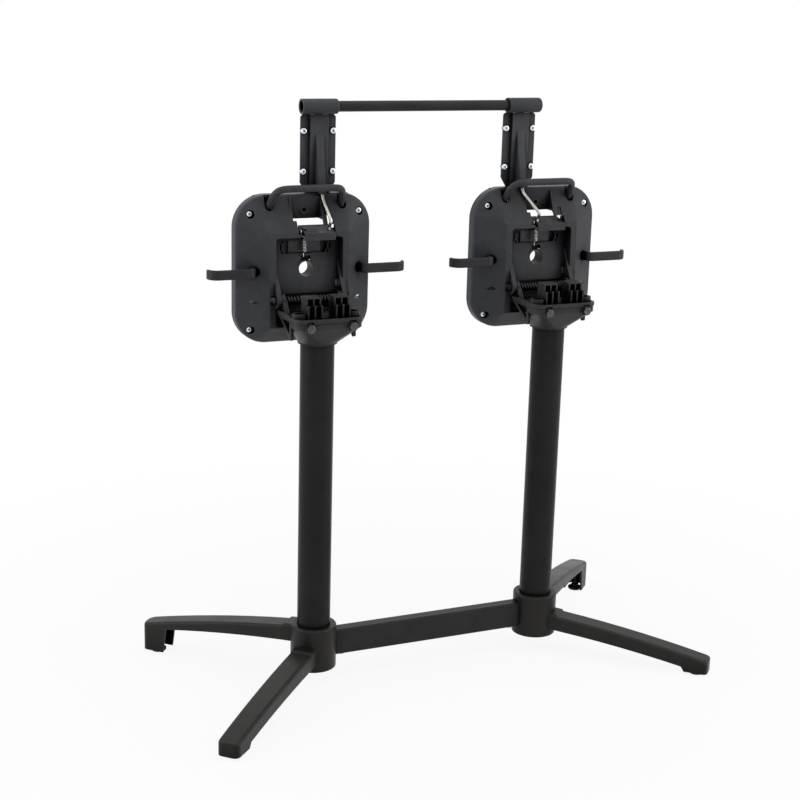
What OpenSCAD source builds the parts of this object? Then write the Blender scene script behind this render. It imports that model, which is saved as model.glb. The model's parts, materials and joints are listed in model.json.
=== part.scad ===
// Twin-column flip-top table base, drawn in its stored position with the table plane upright.
// X runs along the row of columns, Y from the front to the back, and Z is up.
// The origin is on the floor, midway between the columns.

/* [Layout] */
// Distance between the two column axes
column_gap = 435; // [400:1:900]
// Distance from a column axis to the axis of its levelling feet
foot_reach = 305; // [260:1:360]
// Height of the hinge axis above the floor
hinge_z = 668; // [560:1:760]
// Distance of the hinge axis behind the column axis
hinge_y = 34; // [33:0.5:38]

/* [Columns] */
// Outer diameter of a column
column_d = 57; // [54:0.5:58]
// Wall of a column tube
column_wall = 2; // [1.5:0.1:4]
// Thickness of the threaded plug in a column's foot
plug_h = 10; // [8:0.5:16]
// Diameter of the tie bolt that holds a column down
tie_d = 10; // [8:0.5:12]

/* [Foot castings] */
// Outer diameter of a hub
hub_d = 79; // [74:1:90]
// Underside of a hub above the floor
hub_low = 29; // [24:0.5:34]
// Height of a hub
hub_h = 76.5; // [70:0.5:90]
// Thickness of the floor under a column
hub_floor = 8; // [6:0.5:12]
// Rounding of a hub's rim
hub_round = 3; // [1:0.5:5]
// Width of a leg at the hub
leg_w = 42; // [38:0.5:46]
// Width of a leg at its tip
tip_w = 37.5; // [36:0.5:40]
// Wall of a leg
leg_wall = 3.2; // [2.5:0.1:3.5]
// Rounding along a leg's upper edges
leg_round = 5; // [3:0.5:6]
// Rise of a leg's arch above a straight line
leg_arch = 5; // [0:0.5:9]
// Top of a front leg at the hub
front_root = 70; // [64:0.5:80]
// Top of a front leg at its tip
front_tip = 29; // [28:0.5:36]
// Depth of a front leg's sides
front_depth = 26; // [24:0.5:32]
// Top of a rear leg at the hub
rear_root = 102; // [96:0.5:104]
// Top of a rear leg at its tip
rear_tip = 54; // [50:0.5:64]
// Depth of a rear leg's sides at the hub
rear_depth = 28; // [24:0.5:32]
// Depth of a rear leg's sides before its tip
rear_tip_depth = 14; // [10:0.5:20]

/* [Levelling feet] */
// Diameter of a levelling pad
pad_d = 27; // [20:0.5:28]
// Thickness of a levelling pad
pad_h = 6; // [5:0.5:8]
// Diameter of a levelling stud
stud_d = 8; // [6:0.5:10]
// How far a levelling foot screws out
level_travel = 10; // [6:0.5:12]

/* [Crossbar] */
// Width of the crossbar
bar_w = 24; // [20:0.5:30]
// Height of the crossbar
bar_h = 46; // [36:0.5:50]
// Height of the crossbar's middle above the floor
bar_z = 67.5; // [60:0.5:72]
// Wall of the crossbar tube
bar_wall = 2; // [1.5:0.1:3]

/* [Column heads] */
// Width of a head's tray
tray_w = 114; // [112:0.5:116]
// Distance from the column axis to the tray's front
tray_front = 62.5; // [60:0.5:66]
// Distance from the column axis to the tray's back
tray_back = 31; // [30:0.5:33]
// Wall of a head
head_wall = 3.5; // [2.5:0.1:4]
// Height of the band round a tray's rim
rim_h = 6; // [4:0.5:8]
// How far the tray's rim lies below the hinge axis
rim_drop = 14.5; // [14:0.5:20]
// Height of the comb of ribs above the tray's rim
comb_h = 32.5; // [28:0.5:34]
// Diameter of a head bolt
head_bolt_d = 8; // [6:0.5:8]
// Distance of a head bolt from the column axis
head_bolt_x = 36.5; // [36:0.5:40]
// Diameter of a hinge pin
pin_d = 8; // [6:0.5:10]
// Radius of the hinge lugs and ears
lug_r = 12; // [10:0.5:13]

/* [Springs] */
// Wire of a torsion spring
coil_wire = 3.6; // [2.5:0.1:4]
// Turns of a torsion spring
coil_turns = 17; // [8:1:19]
// Wire of a latch spring
latch_wire = 1.6; // [1:0.1:2]
// Turns of a latch spring
latch_turns = 8; // [5:1:9]

/* [Tilt plates] */
// Width of a tilt plate
plate_w = 238; // [230:1:260]
// Height of a tilt plate
plate_h = 247; // [240:1:270]
// Corner radius of a tilt plate
plate_r = 54; // [40:1:58]
// Height of a tilt plate's middle above the hinge axis
plate_rise = 46.5; // [45:0.5:50]
// Distance of the table plane behind the hinge axis
table_back = 55; // [52:0.5:60]
// Depth of a tilt plate's straight rim
plate_rim = 22; // [16:0.5:24]
// Rounding of a tilt plate's outer edge
plate_edge = 5; // [3:0.5:7]
// Wall of a tilt plate
plate_wall = 3.5; // [2.5:0.1:4]
// Spacing of the tilt plate's fixing screws
screw_grid = 192; // [180:1:196]
// Diameter of the round hole through a tilt plate
view_hole_d = 25; // [16:0.5:28]

/* [Arm covers] */
// Width of an arm cover
arm_w = 62; // [58:1:70]
// Length of an arm cover
arm_l = 125; // [110:1:150]
// Distance of an arm cover's middle from its column, towards the table's middle
arm_shift = 30; // [26:0.5:34]
// Width of an arm cover's raised channel
channel_w = 32; // [28:0.5:36]
// Spacing of the arm cover's screws across
arm_screw_x = 51.6; // [46:0.2:54]
// Spacing of the arm cover's screws along
arm_screw_z = 66.7; // [60:0.1:80]

/* [Release] */
// How far the release bar pulls out
pull_travel = 6; // [4:0.5:6]
// Diameter of the release tube
tube_d = 18; // [14:0.5:20]
// Diameter of a sleeve
sleeve_d = 25.4; // [22:0.2:26]
// Length of a sleeve
sleeve_l = 64; // [60:1:80]
// Diameter of a pull rod
rod_d = 5.6; // [4:0.1:5.8]
// Diameter of a U-shaped handle
handle_d = 12; // [9:0.5:12.5]
// Width across a U-shaped handle's legs
handle_w = 128; // [124:0.5:132]

/* [Bag hooks] */
// Height of a bag hook's band
hook_h = 16.5; // [12:0.5:17]
// Thickness of a bag hook's band
hook_t = 5; // [4:0.1:6]
// Reach of a bag hook beyond its socket
hook_reach = 76; // [60:1:90]

/* [Hidden] */
$fn = 48;

// Colours
casting_paint = [0.23, 0.22, 0.21];
tube_paint = [0.16, 0.16, 0.16];
plastic = [0.22, 0.22, 0.24];
hook_plastic = [0.20, 0.20, 0.22];
zinc = [0.78, 0.80, 0.82];
bare_steel = [0.66, 0.65, 0.62];
blued_steel = [0.14, 0.14, 0.15];
pad_nylon = [0.12, 0.12, 0.12];

// Clearances
slip = 0.05;
seat_gap = 0.25;
free_gap = 0.5;
eps = 0.01;

// Columns and hubs
column_r = column_d / 2;
hub_r = hub_d / 2;
hub_top = hub_low + hub_h;
column_foot = hub_low + hub_floor;
tie_head_h = 6;
tie_head_d = 17;
washer_d = 26;
washer_h = 2;
tie_l = hub_floor + washer_h + plug_h + 6;

// Legs, each along its own axis u from the column axis
leg_angle = 45;
leg_start = 22;
tip_over = 22;
leg_end = foot_reach + tip_over;
tip_round = 9;
block_start = foot_reach - 25;
block_full = foot_reach - 19;
block_low = 5;
hollow_start = hub_r + 6;
boss_d = 18;
root_step = 3;
root_step_end = hub_r + 12;

// Levelling feet
nut_h = 5;
nut_af = 13;
front_boss_low = 16;
rear_boss_low = 38;
stud_bite = 11;

// Crossbar
bar_round = 3;
bar_inner_round = bar_round - bar_wall + 1;
tongue_l = 26;
bar_screw_d = 6;
bar_screw_head_d = 11;
bar_screw_head_h = 3.5;

// Heads
rim_z = hinge_z - rim_drop;
rim_out = 1.5;
tray_corner = 14;
deck_z = rim_z - rim_h;
deck_h = 4;
socket_r = column_r + seat_gap + 4.2;
neck_z = hinge_z - 64;
flare_z = hinge_z - 31;
column_top = deck_z - deck_h - 1;
fin_y = -24;
fin_w = 7;
fin_low = hinge_z - 54.5;
truss_t = 5;
strut_w = 6;
comb_front = -52;
comb_back = -20;
comb_top = rim_z + comb_h;
comb_shelf_z = rim_z + 18.5;
comb_step = 8;
comb_bead_r = 2.2;
comb_rib_t = 2.5;
comb_rib_x = [12.6, 24.1, 35.6];
ring_x = 45.5;
ring_y = -37.5;
ring_r = 12.5;
ring_bore_r = 8.5;
ring_top = rim_z + 7;
head_bolt_z = hinge_z - 28.5;
head_bolt_back = -8;
bolt_boss_r = 8;
bolt_head_af = 13;
bolt_head_h = 5.3;
nut_pocket_h = 6.5;
lug_in = 47;
lug_out = 53;
ear_in = 54;
ear_out = 61;
pin_head_d = 13;
pin_head_h = 3;
pin_recess_r = 8;

// Torsion springs
coil_r = pin_d / 2 + 1 + coil_wire / 2;
coil_half = lug_in - coil_wire / 2 - free_gap;
coil_steps = 10;
wire_sides = 6;

// Tilt plates
plate_z = hinge_z + plate_rise;
table_y = hinge_y + table_back;
rim_y = table_y - plate_rim;
plate_low = plate_z - plate_h / 2;
plate_top = plate_z + plate_h / 2;
front_half = 70;
front_low_z = hinge_z - 46;
front_top_z = hinge_z + 110;
front_low_y = hinge_y + 2;
front_top_y = hinge_y + 6;
pocket_half = 59;
pocket_low = hinge_z - 45;
pocket_top = hinge_z + 102;
pocket_round = 6;
floor_low_z = hinge_z + 9;
floor_low_y = hinge_y + 14.5;
floor_kink_z = hinge_z + 72;
floor_kink_y = hinge_y + 27;
view_hole_z = hinge_z + 47;
notch_low = view_hole_z + view_hole_d / 2 + 1.5;
slot_low = hinge_z + 73;
slot_top = hinge_z + 95;
slot_half = 45;
notch_half = 9;
window_low = hinge_z + 106.5;
window_top = hinge_z + 129;
window_left = -20;
window_right = 27;
bridge_window_right = 46;
bridge_window_top = hinge_z + 121.5;
ramp_half = 26;
ramp_top = hinge_z + 166;
ramp_top_y = hinge_y + 31;
ramp_low_y = hinge_y + 38;
ramp_hole_z = hinge_z + 143;
ramp_hole_d = 4.5;
ramp_sink_d = 9;
ramp_sink_h = 2.2;
ramp_boss_d = 14;
web_t = 2.5;
web_in = arm_shift + 18.6;
web_out = 84;
screw_d = 4.8;
screw_shank_d = 4.2;
screw_head_d = 11.5;
screw_head_h = 3.2;
screw_out = 14;
screw_seat_y = rim_y + 1;
screw_boss_d = 18;
screw_mid_z = plate_z - 2.5;
slit_x = 52;
slit_w = 2.6;
slit_z = hinge_z + 17;
slit_h = 10;
hook_x = 95.5;
hook_z = hinge_z + 47;
hook_socket_y = hinge_y + 26;
hook_socket_l = 8;
hook_edge = 2;
hook_hole_d = 18;
hook_hole_in = 3;
hook_boss = 25;
leg_hole_half = handle_d / 2 + 1.2;
leg_hole_z = hinge_z + 152;
leg_hole_back = rim_y + plate_edge;

// Arm covers
arm_low = plate_top;
arm_top = arm_low + 3 + arm_l;
flange_t = 3;
channel_y = table_y - 9;
channel_wall = 3;
fin_base_w = 14;
fin_ridge_w = 9;
fin_top_z = arm_top - 30;
fin_front_y = table_y - 30.5;
fin_bore_w = 6.8;
fin_skin = 1.4;
mouth_skin = 0.5;
arm_chamfer_z = 16;
arm_chamfer_x = 10;
arm_screw_z0 = arm_low + 34.3;
arm_screw_head_d = 11;
tongue_w = 36;
tongue_down = 13;
tongue_t = 5;

// Release bar and its rods
sleeve_y = table_y - 13;
sleeve_gap = 0.7;
sleeve_z = arm_top + sleeve_gap + sleeve_d / 2;
sleeve_shift = 28;
sleeve_round = 4;
tube_wall = 1.5;
tube_inset = 12;
strip_w = 16;
strip_t = 2.5;
strip_y = table_y - 5;
strip_low = arm_low + 54;
rod_hook_z = arm_low + 62;
rod_bend_z = arm_low - pull_travel - 2;
rod_bend_y = fin_front_y + 3.3;
rod_low_y = front_top_y + 1.5;
rod_low_z = window_top - 2;
rod_groove = 2;
rod_groove_low = rod_low_z + 15;
rod_slot_half = rod_d / 2 + 1.5;
rod_slot_top = rod_low_z + pull_travel + 3;

// Latches
latch_y = hinge_y + 34;
carriage_t = 3;
carriage_low = hinge_z + 94;
carriage_top = hinge_z + 118;
bridge_front_y = hinge_y + 2;
bridge_front_z = hinge_z + 109;
lip_low = hinge_z + 97;
lip_t = 2.6;
bridge_left = -10;
bridge_right = 44;
rod_hole_x = [-5, 38];
rod_hole_y = hinge_y + 16;
eye_x = -13;
eye_y = hinge_y + 16;
eye_z = hinge_z + 113;
eye_r = 6;
eye_bore_r = 3.2;
eye_t = 4;
bar_half = 28.5;
bar_t = 2.5;
latch_bar_low = hinge_z + 73;
latch_bar_top = hinge_z + 102;
handle_y = hinge_y + 40;
socket_h = 22;
carriage_cover_low = slot_low - 2;
latch_spring_x = -4;
latch_spring_y = hinge_y + 21.5;
latch_spring_r = 3.6;
latch_spring_low = hinge_z + 77;
latch_spring_top = hinge_z + 97;
anchor_z = hinge_z + 70.5;
spring_slot_left = eye_x + eye_bore_r - latch_wire - 1.5;
spring_slot_right = latch_spring_x + latch_spring_r + latch_wire / 2 + 2.5;
anchor_down = 1.7;
anchor_front = floor_kink_y - 1.4;
anchor_back = floor_kink_y + 1.8;
socket_d = handle_d + 5;
latch_room_gap = 3.5;
latch_room_half = handle_w / 2 + socket_d / 2 + latch_room_gap;
latch_room_y = latch_y - bar_t - 0.6;
latch_room_low = slot_low - 8;
latch_room_top = carriage_low + socket_h + pull_travel + 24;

// ---------- Shared shapes ----------

// Moves a shape to the left (-1) or right (1) column
module at_column(side) {
    translate([side * column_gap / 2, 0, 0]) children();
}

// Extrudes an outline drawn in X and Z from y0 back to y1
module slab_y(y0, y1) {
    translate([0, y1, 0]) rotate([90, 0, 0]) linear_extrude(y1 - y0) children();
}

// Extrudes an outline drawn in Y and Z from x0 to x1
module slab_x(x0, x1) {
    translate([x0, 0, 0]) rotate([90, 0, 90]) linear_extrude(x1 - x0) children();
}

// A cylinder along Y from y0 to y1
module rod_y(x, z, d, y0, y1) {
    translate([x, y0, z]) rotate([-90, 0, 0]) cylinder(d = d, h = y1 - y0);
}

// A cylinder along X from x0 to x1
module rod_x(y, z, d, x0, x1) {
    translate([x0, y, z]) rotate([0, 90, 0]) cylinder(d = d, h = x1 - x0);
}

// A rectangle with round corners, centred
module round_rect(w, h, r) {
    square([w - 2 * r, h], center = true);
    square([w, h - 2 * r], center = true);
    for (sx = [-1, 1], sy = [-1, 1])
        translate([sx * (w / 2 - r), sy * (h / 2 - r)]) circle(r);
}

function unit(v) = v / norm(v);

// A path whose corners are rounded off within reach of each point
function rounded(points, reach, steps = 4) =
    let (last = len(points) - 1)
        concat(
            [points[0]],
            [for (i = [1 : last - 1])
                let (
                    before = points[i - 1] - points[i],
                    after = points[i + 1] - points[i],
                    a = points[i] + unit(before) * min(reach, norm(before) * 0.45),
                    b = points[i] + unit(after) * min(reach, norm(after) * 0.45)
                )
                    for (k = [0 : steps])
                        let (t = k / steps) a * pow(1 - t, 2) + points[i] * 2 * t * (1 - t) + b * t * t],
            [points[last]]
        );

// Normals carried along a path without twist
function normals(along) = [
    for (
        i = 0, n = unit(cross(along[0], abs(along[0].z) < 0.9 ? [0, 0, 1] : [1, 0, 0]));
        i < len(along);
        i = i + 1, n = i < len(along) ? unit(n - along[i] * (n * along[i])) : n
    ) n
];

// A round bar or wire along a path
module wire(path, d, faces) {
    last = len(path) - 1;
    along = [for (i = [0 : last]) unit(path[min(i + 1, last)] - path[max(i - 1, 0)])];
    across = normals(along);
    loft([
        for (i = [0 : last])
            [for (k = [0 : faces - 1])
                let (b = 360 * k / faces)
                    path[i] + d / 2 * (cos(b) * across[i] + sin(b) * cross(along[i], across[i]))]
    ]);
}

// A solid through a list of closed rings with equal numbers of points
module loft(rings) {
    n = len(rings[0]);
    last = len(rings) - 1;
    sides = [
        for (i = [0 : last - 1], j = [0 : n - 1])
            let (k = (j + 1) % n, a = i * n, b = (i + 1) * n)
                each [[a + j, b + j, b + k], [a + j, b + k, a + k]]
    ];
    start = [for (j = [0 : n - 1]) j];
    end = [for (j = [n - 1 : -1 : 0]) last * n + j];
    polyhedron(points = [for (r = rings) each r], faces = concat(sides, [start, end]), convexity = 8);
}

// Where the line from p touches a circle of radius r about c, on the side given by turn
function tangent(p, c, r, turn) =
    let (d = p - c, a = atan2(d.y, d.x) + turn * acos(r / norm(d)))
        c + r * [cos(a), sin(a)];

// ---------- Foot castings ----------

function leg_top(u, root, tip) =
    let (t = (u - leg_start) / (leg_end - leg_start))
        root + (tip - root) * t + 4 * leg_arch * t * (1 - t);

// How much the round tip takes off each side at u
function tip_cut(u, end) =
    u < end - tip_round ? 0 : tip_round - sqrt(max(0, pow(tip_round, 2) - pow(u - end + tip_round, 2)));

function leg_half(u) = (leg_w + (tip_w - leg_w) * (u - leg_start) / (leg_end - leg_start)) / 2;

// Cross-section of a leg at u, with round upper edges
function leg_ring(u, half, top, low, r) = concat(
    [[u, half, low]],
    [for (a = [0 : 30 : 90]) [u, half - r + r * cos(a), top - r + r * sin(a)]],
    [for (a = [90 : 30 : 180]) [u, -half + r + r * cos(a), top - r + r * sin(a)]],
    [[u, -half, low]]
);

function leg_stations(start, end) = concat(
    [start, root_step_end - 2, root_step_end],
    [for (k = [1 : 6]) root_step_end + (block_start - root_step_end) * k / 6],
    [block_full],
    [for (a = [0 : 30 : 90]) end - tip_round * (1 - sin(a))]
);

// The outside of a leg, whose sides drop to the pad block at the tip
module leg_body(root, tip, depth, tip_depth) {
    loft([
        for (u = leg_stations(leg_start, leg_end))
            let (
                top = leg_top(u, root, tip),
                t = (u - leg_start) / (block_start - leg_start),
                side = depth + (tip_depth - depth) * t,
                low = u < block_full ? top - side : block_low,
                step = u < root_step_end ? root_step : 0
            )
                leg_ring(u, leg_half(u) - tip_cut(u, leg_end), top + step, low, leg_round)
    ]);
}

// The channel under a leg
module leg_hollow(root, tip) {
    end = leg_end - leg_wall;
    loft([
        for (u = leg_stations(hollow_start, end))
            leg_ring(u, leg_half(u) - leg_wall - tip_cut(u, end), leg_top(u, root, tip) - leg_wall,
                -1, leg_round - 2)
    ]);
}

module pad_boss(root, tip, low) {
    top = leg_top(foot_reach, root, tip) - leg_wall + eps;
    translate([foot_reach, 0, low]) cylinder(d = boss_d, h = top - low);
}

module pad_bore(low) {
    translate([foot_reach, 0, low - 1]) cylinder(d = stud_d + 2 * slip, h = stud_bite + 3);
}

module crossbar_tongue() {
    w = bar_w - 2 * bar_wall - 2 * seat_gap;
    h = bar_h - 2 * bar_wall - 2 * seat_gap;
    slab_x(-hub_r - tongue_l, 6 - hub_r) translate([0, bar_z]) round_rect(w, h, bar_inner_round - seat_gap);
}

// The right-hand casting: a hub, a low front leg and a high rear leg
module casting() {
    difference() {
        union() {
            difference() {
                union() {
                    translate([0, 0, hub_low]) cylinder(r = hub_r, h = hub_h - hub_round);
                    translate([0, 0, hub_low]) cylinder(r = hub_r - hub_round, h = hub_h);
                    translate([0, 0, hub_top - hub_round])
                        rotate_extrude() translate([hub_r - hub_round, 0]) circle(hub_round);
                    rotate([0, 0, -leg_angle]) leg_body(front_root, front_tip, front_depth, front_depth - 2);
                    rotate([0, 0, leg_angle]) leg_body(rear_root, rear_tip, rear_depth, rear_tip_depth);
                }
                rotate([0, 0, -leg_angle]) leg_hollow(front_root, front_tip);
                rotate([0, 0, leg_angle]) leg_hollow(rear_root, rear_tip);
            }
            rotate([0, 0, -leg_angle]) pad_boss(front_root, front_tip, front_boss_low);
            rotate([0, 0, leg_angle]) pad_boss(rear_root, rear_tip, rear_boss_low);
            crossbar_tongue();
        }
        translate([0, 0, column_foot]) cylinder(r = column_r + seat_gap, h = hub_h);
        translate([0, 0, hub_low - 1]) cylinder(d = tie_d + 2 * seat_gap, h = hub_floor + 2);
        rotate([0, 0, -leg_angle]) pad_bore(front_boss_low);
        rotate([0, 0, leg_angle]) pad_bore(rear_boss_low);
        translate([-hub_r - tongue_l / 2, 0, 0]) cylinder(d = bar_screw_d + 2 * slip, h = bar_z);
    }
}

module foot_casting_left() {
    color(casting_paint) at_column(-1) mirror([1, 0, 0]) casting();
}

module foot_casting_right() {
    color(casting_paint) at_column(1) casting();
}

// ---------- Crossbar ----------

module crossbar() {
    reach = column_gap / 2;
    color(tube_paint) difference() {
        slab_x(-reach, reach) translate([0, bar_z]) round_rect(bar_w, bar_h, bar_round);
        slab_x(-reach - 1, reach + 1) translate([0, bar_z])
            round_rect(bar_w - 2 * bar_wall, bar_h - 2 * bar_wall, bar_inner_round);
        for (side = [-1, 1]) {
            at_column(side) cylinder(r = hub_r, h = hub_top + 10);
            translate([side * (reach - hub_r - tongue_l / 2), 0, 0])
                cylinder(d = bar_screw_d + 2 * seat_gap, h = bar_z);
        }
    }
}

module crossbar_screws() {
    under = bar_z - bar_h / 2;
    color(zinc) for (side = [-1, 1])
        translate([side * (column_gap / 2 - hub_r - tongue_l / 2), 0, under]) {
            translate([0, 0, -bar_screw_head_h]) cylinder(d = bar_screw_head_d, h = bar_screw_head_h);
            cylinder(d = bar_screw_d, h = 12);
        }
}

// ---------- Levelling feet ----------

module foot_pad(side, row, boss_low) {
    color(pad_nylon) at_column(side) rotate([0, 0, side > 0 ? row * leg_angle : 180 - row * leg_angle])
        translate([foot_reach, 0, 0]) {
            cylinder(d1 = pad_d - 3, d2 = pad_d, h = 2);
            translate([0, 0, 2]) cylinder(d = pad_d, h = pad_h - 3.5);
            translate([0, 0, pad_h - 1.5]) cylinder(d1 = pad_d, d2 = pad_d - 5, h = 1.5);
            translate([0, 0, pad_h]) cylinder(d = nut_af / cos(30), h = nut_h, $fn = 6);
            translate([0, 0, pad_h + nut_h]) cylinder(d = stud_d, h = boss_low + stud_bite - pad_h - nut_h);
        }
}

// ---------- Columns ----------

module column(side) {
    color(tube_paint) at_column(side) translate([0, 0, column_foot]) difference() {
        cylinder(r = column_r, h = column_top - column_foot);
        translate([0, 0, -1]) cylinder(r = column_r - column_wall, h = column_top);
    }
}

module column_plugs() {
    color(blued_steel) for (side = [-1, 1])
        at_column(side) translate([0, 0, column_foot]) difference() {
            cylinder(r = column_r - column_wall - slip, h = plug_h);
            translate([0, 0, -1]) cylinder(d = tie_d + 2 * slip, h = plug_h + 2);
        }
}

module tie_bolts() {
    head_z = hub_low - washer_h - tie_head_h;
    color(zinc) for (side = [-1, 1])
        at_column(side) translate([0, 0, head_z]) {
            cylinder(d = tie_head_d / cos(30), h = tie_head_h, $fn = 6);
            cylinder(d = tie_d, h = tie_head_h + tie_l);
        }
}

module tie_washers() {
    color(zinc) for (side = [-1, 1])
        at_column(side) translate([0, 0, hub_low - washer_h]) difference() {
            cylinder(d = washer_d, h = washer_h);
            translate([0, 0, -1]) cylinder(d = tie_d + 2 * seat_gap, h = washer_h + 2);
        }
}

// ---------- Column heads ----------

// The tray seen from above, with round front corners, from the front back to y
module tray_outline(grow, back) {
    w = tray_w + 2 * grow;
    front = -tray_front - grow;
    r = tray_corner + grow;
    translate([-w / 2, front + r]) square([w, back - front - r]);
    translate([-w / 2 + r, front]) square([w - 2 * r, back - front]);
    for (sx = [-1, 1]) translate([sx * (w / 2 - r), front + r]) circle(r);
}

// The flare from the neck out to the front half of the tray
module flare(inset, lift) {
    hull() {
        translate([0, 0, flare_z + lift]) linear_extrude(1) tray_outline(-inset, fin_y - inset, $fn = 32);
        translate([0, 0, neck_z + lift]) cylinder(r = socket_r - inset / 3, h = 1, $fn = 32);
    }
}

// A lug or bearing plate in the YZ plane, round about the hinge axis
module lug_outline() {
    translate([hinge_y, hinge_z]) circle(lug_r);
    polygon([[8, deck_z - 1], [tray_back, deck_z - 1], [hinge_y + lug_r, hinge_z],
        [hinge_y - lug_r, hinge_z]]);
}

// The fin and strut under each side of the tray
module truss_outline() {
    tip = [fin_y, fin_low + fin_w / 2];
    heel = [tray_back - strut_w / 2, deck_z];
    translate(tip) circle(d = fin_w);
    translate([fin_y - fin_w / 2, tip.y]) square([fin_w, deck_z - tip.y]);
    polygon([tip + [0, -fin_w / 2], heel + [strut_w / 2, 0], heel + [strut_w / 2, strut_w], heel + [-4, 1],
        tip + [0, strut_w / 2 + 1]]);
}

// Side view of a comb rib, stepped back above its shelf, with a bead at the step
module comb_rib_outline(low) {
    polygon([[comb_front, low], [comb_front, comb_shelf_z], [comb_front + comb_step, comb_shelf_z],
        [comb_front + comb_step, comb_top - comb_step / 3], [comb_front + comb_step * 4 / 3, comb_top],
        [comb_back, comb_top], [comb_back, low]]);
    translate([comb_front + comb_bead_r - 0.4, comb_shelf_z]) circle(comb_bead_r);
}

// Two groups of thin ribs either side of a channel, with a shelf, a roof and a closed back
module comb() {
    low = neck_z + 14;
    first = comb_rib_x[0];
    last = comb_rib_x[len(comb_rib_x) - 1];
    start = comb_front + comb_step;
    for (sx = [-1, 1]) {
        for (x = comb_rib_x)
            slab_x(sx * x - comb_rib_t / 2, sx * x + comb_rib_t / 2) comb_rib_outline(low);
        translate([sx * (first + last) / 2 - (last - first) / 2, 0, 0]) {
            for (z = [comb_shelf_z - comb_rib_t, comb_top - comb_rib_t])
                translate([0, start + 1, z]) cube([last - first, comb_back - start - 1, comb_rib_t]);
            translate([0, comb_back - comb_rib_t, low]) cube([last - first, comb_rib_t, comb_top - low]);
        }
    }
}

module head_body() {
    difference() {
        union() {
            flare(0, 0);
            translate([0, 0, flare_z]) linear_extrude(rim_z - flare_z) tray_outline(0, fin_y);
            translate([0, 0, deck_z - deck_h])
                linear_extrude(rim_z - deck_z + deck_h) tray_outline(0, tray_back);
            translate([0, 0, deck_z]) linear_extrude(rim_h) tray_outline(rim_out, tray_back);
        }
        flare(head_wall, 4);
        translate([0, 0, flare_z]) linear_extrude(rim_h * 6) tray_outline(-head_wall, fin_y - head_wall);
        translate([0, 0, deck_z]) linear_extrude(rim_h * 6) tray_outline(-head_wall, tray_back - head_wall);
    }
}

// Everything inside the head that stays within its outside
module head_inside() {
    intersection() {
        union() {
            comb();
            for (sx = [-1, 1]) {
                translate([sx * ring_x, ring_y, neck_z]) cylinder(r = ring_r, h = ring_top - neck_z);
                rod_y(sx * head_bolt_x, head_bolt_z, 2 * bolt_boss_r, -tray_front + 1, head_bolt_back);
            }
        }
        union() {
            flare(0, 0);
            translate([0, 0, flare_z]) linear_extrude(comb_top - flare_z) tray_outline(rim_out, tray_back);
        }
    }
}

module head() {
    difference() {
        union() {
            head_body();
            head_inside();
            translate([0, 0, neck_z - 2]) cylinder(r = socket_r, h = deck_z - neck_z + 2);
            for (sx = [-1, 1]) {
                mid = sx * (lug_in + lug_out) / 2;
                slab_x(mid - (lug_out - lug_in) / 2, mid + (lug_out - lug_in) / 2) lug_outline();
                side = sx * (tray_w - truss_t) / 2;
                slab_x(side - truss_t / 2, side + truss_t / 2) truss_outline();
            }
        }
        translate([0, 0, neck_z - 3]) cylinder(r = column_r + seat_gap, h = column_top + slip - neck_z + 3);
        rod_x(hinge_y, hinge_z, pin_d + 2 * slip, -lug_out - 1, lug_out + 1);
        for (sx = [-1, 1]) {
            translate([sx * ring_x, ring_y, deck_z]) cylinder(r = ring_bore_r, h = 40);
            rod_y(sx * head_bolt_x, head_bolt_z, head_bolt_d + 2 * seat_gap, -tray_front - 5, 10);
            translate([sx * head_bolt_x, head_bolt_back, head_bolt_z]) rotate([-90, 0, 0])
                cylinder(d = (bolt_head_af + 2 * seat_gap) / cos(30), h = nut_pocket_h + seat_gap, $fn = 6);
            translate([sx * head_bolt_x - 6, -tray_front - 5, head_bolt_z + 7.6]) cube([12, 10, 3]);
        }
    }
}

module column_head(side) {
    color(plastic) at_column(side) head();
}

module head_bolts() {
    color(blued_steel) for (side = [-1, 1], sx = [-1, 1])
        at_column(side) translate([sx * head_bolt_x, -tray_front, head_bolt_z]) rotate([-90, 0, 0]) {
            translate([0, 0, -1.2]) cylinder(d = bolt_head_af * 1.3, h = 1.2);
            translate([0, 0, -1.2 - bolt_head_h])
                cylinder(d = bolt_head_af / cos(30), h = bolt_head_h, $fn = 6);
            translate([0, 0, -1.2])
                cylinder(d = head_bolt_d, h = tray_front + head_bolt_back + nut_pocket_h + 4);
        }
}

module head_nuts() {
    color(zinc) for (side = [-1, 1], sx = [-1, 1])
        at_column(side) translate([sx * head_bolt_x, head_bolt_back, head_bolt_z]) rotate([-90, 0, 0])
            difference() {
                cylinder(d = bolt_head_af / cos(30), h = nut_pocket_h, $fn = 6);
                translate([0, 0, -1]) cylinder(d = head_bolt_d + 2 * slip, h = nut_pocket_h + 2);
            }
}

// ---------- Hinges ----------

module hinge_pin(side) {
    color(bare_steel) at_column(side) {
        rod_x(hinge_y, hinge_z, pin_d, -ear_out - pin_head_h, ear_out + 0.4);
        rod_x(hinge_y, hinge_z, pin_head_d, -ear_out - 0.4 - pin_head_h, -ear_out - 0.4);
        rod_x(hinge_y, hinge_z, pin_head_d, ear_out + 0.4, ear_out + 0.4 + pin_head_h);
    }
}

// Points along a coil about X, from -half to half, starting at angle from
function coil_path(half, turns, radius, from) = [
    for (i = [0 : turns * coil_steps])
        let (a = from + 360 * i / coil_steps)
            [-half + 2 * half * i / (turns * coil_steps), radius * cos(a), radius * sin(a)]
];

// A torsion spring's straight tail, from its end down to the deck of the head
function spring_tail(x) = [
    [x, -coil_r - 12, deck_z - hinge_z + coil_wire * 0.45],
    [x, -coil_r - 5, -9]
];

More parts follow.
